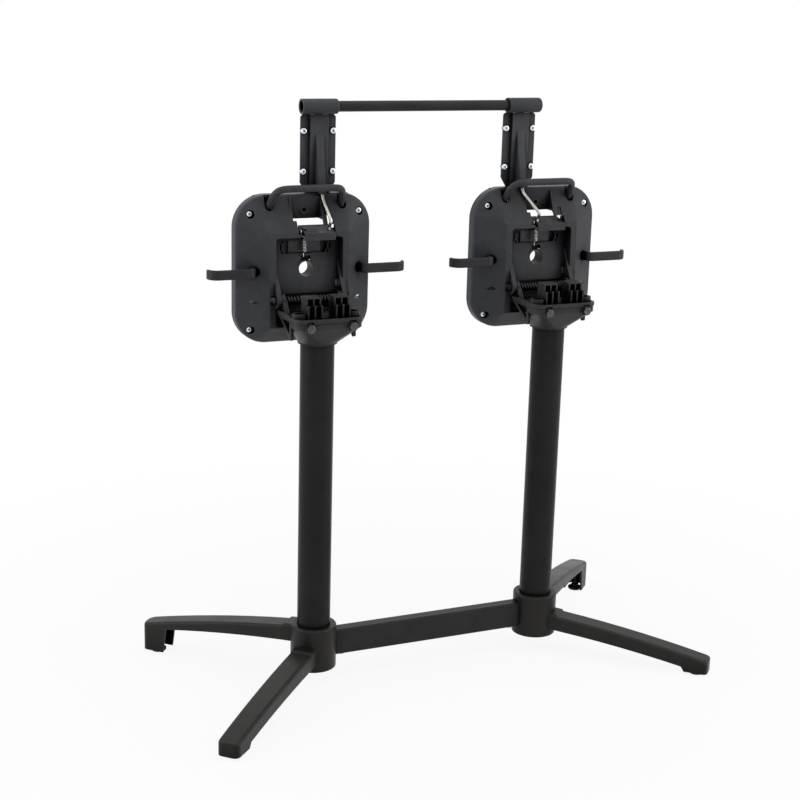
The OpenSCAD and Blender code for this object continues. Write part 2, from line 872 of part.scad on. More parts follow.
module torsion_spring(side) {
    color(blued_steel) at_column(side) translate([0, hinge_y, hinge_z])
        wire(concat(spring_tail(-coil_half), coil_path(coil_half, coil_turns, coil_r, 180),
            [spring_tail(coil_half)[1], spring_tail(coil_half)[0]]), coil_wire, wire_sides);
}

// ---------- Tilt plates ----------

module plate_outline(inset, y0, y1) {
    slab_y(y0, y1) translate([0, plate_z])
        round_rect(plate_w - 2 * inset, plate_h - 2 * inset, plate_r - inset);
}

// A shallow dish: a straight rim at the table, a round edge and flat facets rising to the pocket
module dish(inset, sink, back) {
    hull() {
        for (a = [0, 45, 90]) {
            y = rim_y + sink + plate_edge * (1 - cos(a));
            plate_outline(inset + plate_edge * (1 - sin(a)), y, y + 0.1, $fn = 32);
        }
        translate([-front_half + inset / 2, front_top_y + sink, front_top_z - 1 - inset / 2])
            cube([2 * front_half - inset, 1, 1]);
        translate([-front_half + inset / 2, front_low_y + sink, front_low_z + inset / 2])
            cube([2 * front_half - inset, 1, 1]);
    }
    plate_outline(inset, rim_y + sink + plate_edge, back);
}

function floor_y(z) = z > floor_kink_z ? floor_kink_y
    : floor_low_y + (floor_kink_y - floor_low_y) * (z - floor_low_z) / (floor_kink_z - floor_low_z);

// The sloped panel across the pocket
module floor_outline() {
    polygon([[floor_low_y, floor_low_z], [floor_kink_y, floor_kink_z], [floor_kink_y, pocket_top + 1],
        [floor_kink_y + plate_wall, pocket_top + 1], [floor_kink_y + plate_wall, floor_kink_z],
        [floor_low_y + plate_wall, floor_low_z - 2], [floor_low_y, floor_low_z - 2]]);
}

module ear_outline() {
    hinge = [hinge_y, hinge_z];
    brow = [hinge_y + 22, hinge_z + 62];
    heel = [table_y - 16, hinge_z - 4];
    translate(hinge) circle(lug_r);
    polygon([brow, tangent(brow, hinge, lug_r, 1), hinge, tangent(heel, hinge, lug_r, -1), heel,
        [heel.x, brow.y]]);
}

module pocket_opening(grow) {
    w = 2 * (pocket_half + grow);
    h = pocket_top - pocket_low + 2 * grow;
    slab_y(0, table_y + 5)
        translate([0, (pocket_low + pocket_top) / 2]) round_rect(w, h, pocket_round + grow);
}

// Ribs behind the facets, trimmed to the dish
module plate_ribs() {
    rib = 2.5;
    deep = table_y - front_low_y - 3;
    intersection() {
        union() {
            for (z = [hinge_z - 12, hinge_z + 30, hinge_z + 74])
                translate([-plate_w / 2, front_low_y, z]) cube([plate_w, deep, rib]);
            for (sx = [-1, 1]) {
                translate([sx * 84 - rib / 2, front_low_y, plate_low]) cube([rib, deep, plate_h]);
                translate([sx * 34 - rib / 2, front_low_y, plate_low]) cube([rib, deep, 34]);
            }
        }
        dish(eps, eps, table_y);
    }
}

// Crossed ribs that close each end of the latch slot
module slot_crosses() {
    t = 1.2;
    for (sx = [-1, 1], flip = [0, 1])
        slab_y(floor_kink_y, floor_kink_y + plate_wall) {
            a = sx * (slot_half - 9 + flip * 8);
            b = sx * (slot_half - 1 - flip * 8);
            polygon([[a - t, slot_low - 1], [a + t, slot_low - 1], [b + t, slot_top + 1],
                [b - t, slot_top + 1]]);
        }
}

// Front of the ramp at height z
function ramp_y(z) = ramp_low_y + (ramp_top_y - ramp_low_y) * (z - window_top) / (ramp_top - window_top);

module plate_ramp() {
    w = 2.5;
    slab_x(-ramp_half - w, ramp_half + w)
        polygon([[ramp_top_y, ramp_top], [ramp_low_y, window_top], [ramp_low_y + 3, window_top],
            [ramp_top_y + 4, ramp_top]]);
    for (sx = [-1, 1]) {
        mid = sx * (ramp_half + w / 2);
        slab_x(mid - w / 2, mid + w / 2)
            polygon([[ramp_top_y, ramp_top], [front_top_y + 11, window_top], [ramp_low_y + 3, window_top],
                [ramp_top_y + 4, ramp_top]]);
    }
}

module ramp_cut() {
    slab_x(-ramp_half, ramp_half)
        polygon([[0, window_top - 1], [ramp_low_y, window_top - 1], [ramp_low_y, window_top],
            [ramp_top_y, ramp_top], [ramp_top_y - 8, ramp_top], [0, ramp_top - 4]]);
}

module corner_holes() {
    for (sx = [-1, 1], sz = [-1, 1]) {
        x = sx * screw_grid / 2;
        z = screw_mid_z + sz * screw_grid / 2;
        rod_y(x, z, screw_d + 2 * seat_gap, hinge_y, table_y + 1);
        rod_y(x, z, screw_head_d + 2.5, hinge_y, screw_seat_y);
    }
}

module plate_solids() {
    difference() {
        union() {
            difference() {
                dish(0, 0, table_y);
                dish(plate_wall, plate_wall, table_y + 1);
                pocket_opening(0);
            }
            difference() {
                intersection() {
                    pocket_opening(plate_wall);
                    dish(eps, eps, table_y - 4);
                }
                pocket_opening(0);
            }
            difference() {
                plate_ribs();
                pocket_opening(0);
            }
            intersection() {
                union() {
                    for (sx = [-1, 1], sz = [-1, 1])
                        rod_y(sx * screw_grid / 2, screw_mid_z + sz * screw_grid / 2, screw_boss_d,
                            hinge_y, table_y);
                    for (sx = [-1, 1])
                        translate([sx * (hook_x - hook_hole_in), hinge_y, hook_z]) rotate([-90, 0, 0])
                            cylinder(d = hook_boss, h = hook_socket_y + hook_socket_l - hinge_y);
                }
                dish(eps, eps, table_y);
            }
            slab_x(-pocket_half - 1, pocket_half + 1) floor_outline();
            translate([-pocket_half - 1, table_y - plate_wall, pocket_low - 1])
                cube([2 * pocket_half + 2, plate_wall, floor_low_z - pocket_low + 1]);
            translate([-pocket_half - 1, floor_low_y + 1, floor_low_z - 2])
                cube([2 * pocket_half + 2, table_y - floor_low_y - 1, web_t]);
            for (sx = [-1, 1]) {
                mid = sx * (ear_in + ear_out) / 2;
                slab_x(mid - (ear_out - ear_in) / 2, mid + (ear_out - ear_in) / 2) ear_outline();
            }
            rod_y(0, view_hole_z, view_hole_d + 7, floor_y(view_hole_z) + 1, table_y - 5);
        }
        children();
    }
}

module plate_cuts() {
    rod_y(0, view_hole_z, view_hole_d, 0, table_y + 1);
    translate([-notch_half, hinge_y, notch_low]) cube([2 * notch_half, 45, slot_low - notch_low + 1]);
    translate([-slot_half, hinge_y, slot_low]) cube([2 * slot_half, 45, slot_top - slot_low]);
    translate([window_left, 0, window_low])
        cube([window_right - window_left, table_y, window_top - window_low]);
    translate([window_left, 0, window_low])
        cube([bridge_window_right - window_left, table_y, bridge_window_top - window_low]);
    translate([rod_hole_x[1] - rod_slot_half, 0, window_low])
        cube([2 * rod_slot_half, latch_y, rod_slot_top - window_low]);
    translate([spring_slot_left, 0, pocket_top - 1])
        cube([spring_slot_right - spring_slot_left, latch_y, window_low - pocket_top + 2]);
    translate([-latch_room_half, latch_room_y, latch_room_low])
        cube([2 * latch_room_half, table_y, latch_room_top - latch_room_low]);
    ramp_cut();
    corner_holes();
    rod_x(hinge_y, hinge_z, pin_d + 2 * slip, -ear_out - 1, ear_out + 1);
    for (sx = [-1, 1]) {
        mid = sx * (ear_out + 4);
        rod_x(hinge_y, hinge_z, 2 * pin_recess_r, mid - 4, mid + 4);
        translate([sx * slit_x - slit_w / 2, hinge_y, slit_z]) cube([slit_w, 40, slit_h]);
        rod_y(sx * (hook_x - hook_hole_in), hook_z, hook_hole_d, 0, hook_socket_y);
        translate([sx * hook_x - hook_t / 2 - slip, 0, hook_z - hook_h / 2 - slip])
            cube([hook_t + 2 * slip, table_y - 2, hook_h + 2 * slip]);
        rod_y(sx * handle_w / 2, leg_hole_z, 2 * leg_hole_half, 0, leg_hole_back);
        translate([sx * handle_w / 2 - leg_hole_half, 0, leg_hole_z])
            cube([2 * leg_hole_half, leg_hole_back, plate_top - leg_hole_z + 1]);
        slab_y(0, rim_y) translate([sx * 90.6, hinge_z - 3.5]) intersection() {
            translate([0, -7.5]) circle(10.5);
            translate([0, 7.5]) circle(10.5);
        }
    }
}

// Front of the plate's upper facet at height z
function facet_y(z) = rim_y - (rim_y - front_top_y)
    * (plate_top - plate_edge - z) / (plate_top - plate_edge - front_top_z);

// A shallow groove in the upper facet along the pull rod
module rod_groove_cut(side) {
    half = rod_d / 2 + 1;
    top_x = -side * arm_shift;
    low_x = top_x + (rod_low_x(side) - top_x) * (rod_bend_z - rod_groove_low) / (rod_bend_z - rod_low_z);
    intersection() {
        slab_x(-plate_w / 2, plate_w / 2) polygon([[0, rod_groove_low], [0, plate_top + 1],
            [rim_y + rod_groove, plate_top + 1], [rim_y + rod_groove, plate_top],
            [facet_y(rod_groove_low) + rod_groove, rod_groove_low]]);
        slab_y(0, table_y) polygon([[top_x - half, plate_top + 1], [top_x + half, plate_top + 1],
            [top_x + half, rod_bend_z], [low_x + half, rod_groove_low], [low_x - half, rod_groove_low],
            [top_x - half, rod_bend_z]]);
    }
}

module tilt_plate(side) {
    tongue_x = -side * arm_shift;
    color(plastic) at_column(side) {
        difference() {
            union() {
                plate_solids() plate_cuts();
                plate_ramp();
                slot_crosses();
                translate([-notch_half - 1, anchor_front, anchor_z - anchor_down])
                    cube([2 * notch_half + 2, anchor_back - anchor_front, 2 * anchor_down]);
                translate([-notch_half - 3, latch_y - 2, notch_low])
                    cube([2 * notch_half + 6, web_t, carriage_cover_low - 1.5 - notch_low]);
                for (sx = [-1, 1])
                    translate([sx * (web_in + web_out) / 2 - (web_out - web_in) / 2, table_y - web_t - 1.5,
                        latch_room_top - 6])
                        cube([web_out - web_in, web_t, plate_top - latch_room_top + 4]);
                rod_y(0, ramp_hole_z, ramp_boss_d, ramp_y(ramp_hole_z) - 1.2, ramp_y(ramp_hole_z) + 8);
            }
            rod_y(0, ramp_hole_z, ramp_hole_d, 0, ramp_y(ramp_hole_z) + 5.5);
            rod_groove_cut(side);
            translate([0, ramp_y(ramp_hole_z) - 2.2, ramp_hole_z]) rotate([-90, 0, 0])
                cylinder(d1 = ramp_sink_d + 2, d2 = ramp_hole_d, h = ramp_sink_h + 1);
            translate([tongue_x - tongue_w / 2 - seat_gap, table_y - tongue_t - seat_gap, plate_top - 8])
                cube([tongue_w + 2 * seat_gap, 10, 10]);
        }
    }
}

// A pan-head screw pointing back from its seat, with a plain shank up to the table plane
module pan_screw(x, y, z, head_d, head_h) {
    translate([x, y, z]) rotate([-90, 0, 0]) difference() {
        union() {
            translate([0, 0, -head_h * 0.5]) cylinder(d = head_d, h = head_h * 0.5);
            translate([0, 0, -head_h]) cylinder(d1 = head_d * 0.66, d2 = head_d, h = head_h * 0.5);
            cylinder(d = screw_shank_d, h = table_y - y + eps);
            translate([0, 0, table_y - y]) cylinder(d = screw_d, h = screw_out);
        }
        for (turn = [0, 90])
            rotate([0, 0, turn]) translate([-head_d * 0.22, -0.5, -head_h - 1]) cube([head_d * 0.44, 1, 2]);
    }
}

module plate_screws(side) {
    color(zinc) at_column(side) for (sx = [-1, 1], sz = [-1, 1])
        pan_screw(sx * screw_grid / 2, screw_seat_y, screw_mid_z + sz * screw_grid / 2,
            screw_head_d, screw_head_h);
}

// ---------- Bag hooks ----------

// Middle line of a hook: out of its socket, round a bend, along, and back in at the tip
function hook_line() =
    let (bend = 9, front = hinge_y + 1, tip = 15, x1 = hook_x + hook_reach - tip)
        concat(
            [[hook_x, hook_socket_y + hook_socket_l]],
            [for (a = [180 : 15 : 270]) [hook_x + bend + bend * cos(a), front + bend + bend * sin(a)]],
            [for (a = [-90 : 15 : 0]) [x1 + tip * cos(a), front + tip + tip * sin(a)]]
        );

// A hook's section with round edges, as distances across and up: thin is its share of the full
// thickness, and low is how much it loses above and below
function hook_ring(thin, low) = [
    for (q = [0 : 3], a = [0, 45, 90])
        let (
            sx = q == 0 || q == 3 ? 1 : -1,
            sz = q < 2 ? 1 : -1,
            round = min(hook_edge, thin * hook_t / 2 - 0.02)
        )
            [sx * (thin * hook_t / 2 - round) + round * cos(90 * q + a),
                sz * (hook_h / 2 - low - round) + round * sin(90 * q + a)]
];

module bag_hook() {
    line = hook_line();
    last = len(line) - 1;
    end_way = unit(line[last] - line[last - 1]);
    body = [for (i = [0 : last]) [line[i], unit(line[min(last, i + 1)] - line[max(0, i - 1)]), 1, 0]];
    tip = [for (a = [30, 60, 80]) [line[last] + end_way * sin(a) * hook_t / 2, end_way, cos(a),
        hook_edge * (1 - cos(a))]];
    translate([0, 0, hook_z]) loft([
        for (step = concat(body, tip))
            [for (s = hook_ring(step[2], step[3]))
                [step[0].x - s.x * step[1].y, step[0].y + s.x * step[1].x, s.y]]
    ]);
}

module bag_hooks(side) {
    color(hook_plastic) at_column(side) {
        bag_hook();
        mirror([1, 0, 0]) bag_hook();
    }
}

// ---------- Arm covers ----------

module arm_flange_outline() {
    w = arm_w / 2;
    top = arm_top - arm_low;
    polygon([[-w + arm_chamfer_x, 0], [w - arm_chamfer_x, 0], [w, arm_chamfer_z], [w, top - 4], [w - 4, top],
        [-w + 4, top], [-w, top - 4], [-w, arm_chamfer_z]]);
}

// Side view of the fin, grown by skin towards the back for its bore
module arm_fin_outline(skin) {
    low = arm_low - (skin > 0 ? 1 : 0);
    back = table_y - 4;
    polygon([[fin_front_y + min(skin, mouth_skin), low], [channel_y + skin, fin_top_z], [back, fin_top_z],
        [back, low]]);
}

module arm_body() {
    difference() {
        union() {
            slab_y(table_y - flange_t, table_y) translate([0, arm_low]) arm_flange_outline();
            translate([-channel_w / 2, channel_y, arm_low])
                cube([channel_w, table_y - channel_y, arm_top - arm_low]);
            intersection() {
                slab_x(-fin_base_w, fin_base_w) arm_fin_outline(0);
                translate([0, 0, arm_low]) linear_extrude(arm_l)
                    polygon([[-fin_base_w / 2, channel_y + 1], [fin_base_w / 2, channel_y + 1],
                        [fin_ridge_w / 2, fin_front_y], [-fin_ridge_w / 2, fin_front_y]]);
            }
        }
        translate([-channel_w / 2 + channel_wall, channel_y + channel_wall, arm_low + 6])
            cube([channel_w - 2 * channel_wall, 20, arm_top - arm_low]);
        slab_x(-fin_bore_w / 2, fin_bore_w / 2) arm_fin_outline(fin_skin);
        for (sx = [-1, 1], sz = [0, 1])
            rod_y(sx * arm_screw_x / 2, arm_screw_z0 + sz * arm_screw_z, screw_d + 2 * seat_gap,
                channel_y, table_y + 1);
    }
    difference() {
        translate([-tongue_w / 2, table_y - tongue_t, arm_low - tongue_down])
            cube([tongue_w, tongue_t, tongue_down + 6]);
        slab_x(-fin_bore_w / 2, fin_bore_w / 2) arm_fin_outline(fin_skin);
    }
}

module arm_cover(side) {
    color(plastic) at_column(side) translate([-side * arm_shift, 0, 0]) arm_body();
}

module arm_screws(side) {
    color(zinc) at_column(side) translate([-side * arm_shift, 0, 0]) for (sx = [-1, 1], sz = [0, 1])
        pan_screw(sx * arm_screw_x / 2, table_y - flange_t, arm_screw_z0 + sz * arm_screw_z,
            arm_screw_head_d, screw_head_h);
}

// ---------- Release bar ----------

module release_tube() {
    half = column_gap / 2 - sleeve_shift + sleeve_l / 2 - tube_inset;
    color(tube_paint) difference() {
        rod_x(sleeve_y, sleeve_z, tube_d, -half, half);
        rod_x(sleeve_y, sleeve_z, tube_d - 2 * tube_wall, -half - 1, half + 1);
    }
}

// A sleeve with one square end and one round end
module sleeve(side) {
    x0 = side * (column_gap / 2 - sleeve_shift) - sleeve_l / 2;
    r = sleeve_d / 2;
    color(plastic) translate([x0, sleeve_y, sleeve_z]) rotate([0, 90, 0]) difference() {
        union() {
            cylinder(r = r, h = sleeve_l - sleeve_round);
            cylinder(r = r - sleeve_round, h = sleeve_l);
            translate([0, 0, sleeve_l - sleeve_round])
                rotate_extrude() translate([r - sleeve_round, 0]) circle(sleeve_round);
        }
        translate([0, 0, -1]) cylinder(d = tube_d + 2 * slip, h = sleeve_l + 2);
        translate([0, 0, -1]) cylinder(d1 = tube_d + 4, d2 = tube_d, h = 2);
    }
}

// The flat strip that hangs from a sleeve inside the arm cover
module pull_strip(side) {
    color(bare_steel) at_column(side) translate([-side * arm_shift, 0, 0]) difference() {
        translate([-strip_w / 2, strip_y, strip_low]) cube([strip_w, strip_t, sleeve_z - strip_low]);
        rod_x(sleeve_y, sleeve_z, sleeve_d, -strip_w, strip_w);
        rod_y(0, rod_hook_z, rod_d + 2 * slip, strip_y - 1, strip_y + strip_t + 1);
    }
}

function rod_low_x(side) = side < 0 ? rod_hole_x[1] : rod_hole_x[0];

// The wire from the strip down over the plate to the latch
module pull_rod(side) {
    top_x = -side * arm_shift;
    low_x = rod_low_x(side);
    color(bare_steel) at_column(side)
        wire(rounded([[top_x, strip_y + strip_t + 1, rod_hook_z],
              [top_x, strip_y - 4, rod_hook_z],
              [top_x, rod_bend_y, rod_bend_z],
              [low_x, rod_low_y, rod_low_z],
              [low_x, rod_hole_y, bridge_front_z + 9],
              [low_x, rod_hole_y, bridge_front_z - 0.5]], 5), rod_d, 12);
}

// ---------- Latches ----------

// Side view of the bent carriage: upright plate, sloped bridge and front lip
module bridge_outline() {
    t = carriage_t;
    polygon([[latch_y + t, carriage_top], [latch_y, carriage_top - 0.6], [bridge_front_y, bridge_front_z],
        [bridge_front_y, lip_low], [bridge_front_y + lip_t, lip_low],
        [bridge_front_y + lip_t, bridge_front_z - 2.4],
        [latch_y, carriage_top - 0.6 - t], [latch_y + t, carriage_top - t]]);
}

module latch_carriage(side) {
    color(plastic) at_column(side) difference() {
        union() {
            slab_x(bridge_left, bridge_right) bridge_outline();
            translate([bridge_left, latch_y, carriage_low])
                cube([bridge_right - bridge_left, carriage_t, carriage_top - carriage_low]);
            translate([-handle_w / 2, latch_y, carriage_cover_low])
                cube([handle_w, carriage_t, carriage_low + socket_h - 4 - carriage_cover_low]);
            for (sx = [-1, 1])
                translate([sx * handle_w / 2, handle_y, carriage_low])
                    cylinder(d = socket_d, h = socket_h);
            rod_y(eye_x, eye_z, 2 * eye_r, eye_y - eye_t / 2, eye_y + eye_t / 2);
        }
        rod_y(eye_x, eye_z, 2 * eye_bore_r, eye_y - eye_t, eye_y + eye_t);
        for (sx = [-1, 1]) {
            translate([sx * handle_w / 2, handle_y, carriage_low + 3])
                cylinder(d = handle_d + 2 * slip, h = socket_h);
            rod_y(sx * bar_half * 0.6, carriage_low + 4, 4 + 2 * slip, latch_y - 1, latch_y + carriage_t + 1);
        }
        for (x = rod_hole_x)
            translate([x, rod_hole_y, bridge_front_z - 10]) cylinder(d = rod_d + 1, h = 30);
    }
}

module latch_bar(side) {
    color(blued_steel) at_column(side) {
        translate([-bar_half, latch_y - bar_t, latch_bar_low])
            cube([2 * bar_half, bar_t, latch_bar_top - latch_bar_low]);
        for (sx = [-1, 1]) {
            rod_y(sx * bar_half * 0.6, carriage_low + 4, 4, latch_y - 1, latch_y + carriage_t + 1);
            rod_y(sx * bar_half * 0.6, carriage_low + 4, 7, latch_y + carriage_t, latch_y + carriage_t + 1.5);
        }
    }
}

// An extension spring from the carriage's eye down to the bar across the notch
module latch_spring(side) {
    half = (latch_spring_top - latch_spring_low) / 2;
    mid = (latch_spring_top + latch_spring_low) / 2;
    x = latch_spring_x;
    y = latch_spring_y;
    r = latch_spring_r;
    turns = [for (p = coil_path(half, latch_turns, r, 0)) [x + p.y, y + p.z, mid + p.x]];
    reach = latch_wire / 2 + slip;
    behind = anchor_back + reach;
    under = anchor_z - anchor_down - reach;
    before = anchor_front - reach;
    near = eye_y + eye_t / 2 + latch_wire;
    far = eye_y - eye_t / 2 - latch_wire;
    lower = rounded([[x, behind, anchor_z + 1.5], [x, behind, under], [x, before, under],
        [x, before, anchor_z + 3], [x + r * 0.5, y, latch_spring_low - 0.5]], 0.4, 2);
    upper = rounded([[x + r * 0.5, y, latch_spring_top + 0.5], [eye_x + eye_bore_r, near, eye_z - 8],
        [eye_x, near, eye_z], [eye_x, far, eye_z], [eye_x, far, eye_z - 4.5]], 1, 2);
    color(zinc) at_column(side) wire(concat(lower, turns, upper), latch_wire, wire_sides);
}

module u_handle(side) {
    w = handle_w / 2;
    base = carriage_low + 3;
    half = [[w, handle_y, base], [w, handle_y, hinge_z + 138], [w - 1, hinge_y + 26, hinge_z + 158],
            [w - 5, hinge_y + 12, hinge_z + 175], [w - 12, hinge_y + 4, hinge_z + 181.5],
            [w - 22, hinge_y + 2, hinge_z + 183]];
    mirrored = [for (i = [len(half) - 1 : -1 : 0]) [-half[i].x, half[i].y, half[i].z]];
    color(plastic) at_column(side) wire(rounded(concat(half, mirrored), 9, 2), handle_d, 16);
}

// ---------- Selection ----------

foot_casting_left();
foot_casting_right();
crossbar();
crossbar_screws();
foot_pad(-1, -1, front_boss_low);  // foot_pad_front_left
foot_pad(1, -1, front_boss_low);  // foot_pad_front_right
foot_pad(-1, 1, rear_boss_low);  // foot_pad_rear_left
foot_pad(1, 1, rear_boss_low);  // foot_pad_rear_right
column(-1);  // column_left
column(1);  // column_right
column_plugs();
tie_bolts();
tie_washers();
column_head(-1);  // column_head_left
column_head(1);  // column_head_right
head_bolts();
head_nuts();
hinge_pin(-1);  // hinge_pin_left
hinge_pin(1);  // hinge_pin_right
torsion_spring(-1);  // torsion_spring_left
torsion_spring(1);  // torsion_spring_right
tilt_plate(-1);  // tilt_plate_left
tilt_plate(1);  // tilt_plate_right
plate_screws(-1);  // plate_screws_left
plate_screws(1);  // plate_screws_right
bag_hooks(-1);  // bag_hooks_left
bag_hooks(1);  // bag_hooks_right
arm_cover(-1);  // arm_cover_left
arm_cover(1);  // arm_cover_right
arm_screws(-1);  // arm_screws_left
arm_screws(1);  // arm_screws_right
release_tube();
sleeve(-1);  // sleeve_left
sleeve(1);  // sleeve_right
pull_strip(-1);  // pull_strip_left
pull_strip(1);  // pull_strip_right
pull_rod(-1);  // pull_rod_left
pull_rod(1);  // pull_rod_right
latch_carriage(-1);  // latch_carriage_left
latch_carriage(1);  // latch_carriage_right
latch_bar(-1);  // latch_bar_left
latch_bar(1);  // latch_bar_right
latch_spring(-1);  // latch_spring_left
latch_spring(1);  // latch_spring_right
u_handle(-1);  // u_handle_left
u_handle(1);  // u_handle_right
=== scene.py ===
import json
import math

import bmesh
import bpy
from mathutils import Matrix, Vector


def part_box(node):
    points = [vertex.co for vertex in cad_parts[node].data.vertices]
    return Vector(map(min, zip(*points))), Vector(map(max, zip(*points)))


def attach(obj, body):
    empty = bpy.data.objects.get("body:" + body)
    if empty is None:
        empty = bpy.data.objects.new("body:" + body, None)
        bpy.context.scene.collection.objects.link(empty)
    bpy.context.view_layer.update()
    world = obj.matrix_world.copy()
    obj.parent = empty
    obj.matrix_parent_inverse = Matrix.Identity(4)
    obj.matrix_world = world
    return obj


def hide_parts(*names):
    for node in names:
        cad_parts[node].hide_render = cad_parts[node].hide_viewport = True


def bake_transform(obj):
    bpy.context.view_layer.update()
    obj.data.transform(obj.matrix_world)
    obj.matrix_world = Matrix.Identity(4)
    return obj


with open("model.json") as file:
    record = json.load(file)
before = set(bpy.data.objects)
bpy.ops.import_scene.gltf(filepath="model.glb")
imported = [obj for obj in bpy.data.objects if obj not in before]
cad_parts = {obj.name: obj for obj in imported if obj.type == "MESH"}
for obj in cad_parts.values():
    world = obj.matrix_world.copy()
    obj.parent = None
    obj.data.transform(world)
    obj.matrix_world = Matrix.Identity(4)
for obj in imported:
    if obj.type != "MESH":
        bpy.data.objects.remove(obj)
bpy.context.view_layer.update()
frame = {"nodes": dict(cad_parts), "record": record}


record = frame["record"]
nodes = frame["nodes"]
slot_of = {s["node"]: s["material_slot"] for s in record["subparts"]}
mm = 0.001
scene = bpy.context.scene
scene.view_settings.view_transform = "Standard"


def placed(name, data):
    """A new object in the scene that shows the data."""
    obj = bpy.data.objects.new(name, data)
    scene.collection.objects.link(obj)
    return obj


# ---------- Camera ----------

CAMERA_AT = Vector((-1.1406, -2.3707, 1.1782))
YAW, PITCH, ROLL = 0.42590, 0.25810, 0.027527
LENS = 71.07
SENSOR_WIDTH = 36
CLIP_NEAR, CLIP_FAR = 0.05, 60

ahead = Vector((math.sin(YAW) * math.cos(PITCH), math.cos(YAW) * math.cos(PITCH), -math.sin(PITCH)))
level_right = Vector((math.cos(YAW), -math.sin(YAW), 0))
level_up = level_right.cross(ahead)
right = level_right * math.cos(ROLL) + level_up * math.sin(ROLL)
up = level_up * math.cos(ROLL) - level_right * math.sin(ROLL)

camera_data = bpy.data.cameras.new("camera")
camera_data.lens = LENS
camera_data.sensor_width = SENSOR_WIDTH
camera_data.clip_start = CLIP_NEAR
camera_data.clip_end = CLIP_FAR
camera = placed("camera", camera_data)
camera.matrix_world = Matrix.Translation(CAMERA_AT) @ Matrix((right, up, -ahead)).transposed().to_4x4()
scene.camera = camera

# ---------- Node helpers ----------

NOISE_LOW, NOISE_HIGH = 0.3, 0.7  # Noise seldom leaves this range
EDGE_FLAT, EDGE_TURNED = 0.985, 0.80  # Cosines between which an edge comes to take the painted highlight
SHUT, OPEN = 0.45, 0.92  # Shares of open sky that count as fully shut in and as open
# Painted shade: how far ambient occlusion looks for recesses and for seams between parts, and how dark a
# seam is painted
RECESS_SHADE_REACH = 45 * mm
SEAM_SHADE_REACH = 7 * mm
SEAM_SHADE = 0.25
SAMPLES = 6


def shade(colour, factor):
    return tuple(c * factor for c in colour)


class Graph:
    """The node tree of a material or a world, with short names for what is used here."""

    def __init__(self, owner):
        owner.use_nodes = True
        self.tree = owner.node_tree
        self.tree.nodes.clear()

    def feed(self, target, value):
        """Set a socket to a number or a tuple, or link it to another node's output."""
        if isinstance(value, (int, float)):
            target.default_value = value
        elif isinstance(value, tuple):
            target.default_value = (*value, 1) if target.type == "RGBA" else value
        else:
            self.tree.links.new(value, target)

    def add(self, kind, inputs=None, **settings):
        node = self.tree.nodes.new(kind)
        for name, value in settings.items():
            setattr(node, name, value)
        for key, value in (inputs or {}).items():
            self.feed(node.inputs[key], value)
        return node

    def position(self):
        return self.add("ShaderNodeTexCoord").outputs["Object"]

    def noise(self, scale, detail=2.0, rough=0.5, stretch=None):
        at = self.position()
        if stretch:
            at = self.add("ShaderNodeMapping", {"Vector": at, "Scale": stretch}).outputs["Vector"]
        inputs = {"Vector": at, "Scale": scale, "Detail": detail, "Roughness": rough}
        return self.add("ShaderNodeTexNoise", inputs).outputs["Fac"]

    def graded(self, value, start, end, low, high):
        """The value, with its stretch from start to end spread from low to high."""
        limits = {"From Min": start, "From Max": end, "To Min": low, "To Max": high}
        return self.add("ShaderNodeMapRange", {"Value": value, **limits}).outputs["Result"]

    def spread(self, noise, low, high):
        return self.graded(noise, NOISE_LOW, NOISE_HIGH, low, high)

    def mottled(self, noise, colour, dark, light):
        """The colour, from its dark share to its light one as the noise goes."""
        node = self.add("ShaderNodeValToRGB", {"Fac": noise})
        stops = zip(node.color_ramp.elements, (NOISE_LOW, NOISE_HIGH), (dark, light))
        for element, position, share in stops:
            element.position = position
            element.color = (*shade(colour, share), 1)
        return node.outputs["Color"]

    def combine(self, operation, a, b):
        return self.add("ShaderNodeMath", {0: a, 1: b}, operation=operation).outputs["Value"]

    def blend(self, factor, a, b, how="MIX"):
        inputs = {"Factor": factor, "A": a, "B": b}
        return self.add("ShaderNodeMix", inputs, data_type="RGBA", blend_type=how).outputs["Result"]

    def bump(self, height, distance, strength, under):
        inputs = {"Height": height, "Distance": distance, "Strength": strength, "Normal": under}
        return self.add("ShaderNodeBump", inputs).outputs["Normal"]

    def soft_edges(self, radius):
        return self.add("ShaderNodeBevel", {"Radius": radius}, samples=SAMPLES).outputs["Normal"]

    def painted_edge_highlight(self, softened, patches):
        """1 where a rounded edge turns away from its flat face, broken up by patches: the mask of a painted
        highlight.
        """
        flat = self.add("ShaderNodeNewGeometry").outputs["Normal"]
        turned = self.add("ShaderNodeVectorMath", {0: softened, 1: flat}, operation="DOT_PRODUCT")
        edge = self.graded(turned.outputs["Value"], EDGE_FLAT, EDGE_TURNED, 0.0, 1.0)
        return self.combine("MULTIPLY", edge, self.spread(patches, 0.25, 1.0))

    def painted_shade_factor(self, reach, darkest):
        """1 on open faces, down to darkest where ambient occlusion finds a recess: painted shade."""
        sky = self.add("ShaderNodeAmbientOcclusion", {"Distance": reach}, samples=SAMPLES)
        return self.graded(sky.outputs["AO"], SHUT, OPEN, darkest, 1.0)

    # Painted shade: the tint multiplied by the ambient-occlusion factor
    def shaded(self, tint, reach, darkest):
        return self.blend(1.0, tint, self.painted_shade_factor(reach, darkest), "MULTIPLY")

    def looked_at(self):
        """1 for camera, glossy and transmission rays, so that these all see the white background."""
        path = self.add("ShaderNodeLightPath").outputs
        seen = self.combine("MAXIMUM", path["Is Camera Ray"], path["Is Glossy Ray"])
        return self.combine("MAXIMUM", seen, path["Is Transmission Ray"])

    def pick(self, factor, plain, chosen):
        return self.add("ShaderNodeMixShader", {0: factor, 1: plain, 2: chosen}).outputs["Shader"]

    def finish(self, colour, roughness, normal, **values):
        inputs = {name.replace("_", " "): value for name, value in values.items()}
        shader = self.add("ShaderNodeBsdfPrincipled", {
            "Base Color": colour, "Roughness": roughness, "Normal": normal, **inputs,
        })
        self.add("ShaderNodeOutputMaterial", {"Surface": shader.outputs["BSDF"]})


# ---------- Materials ----------


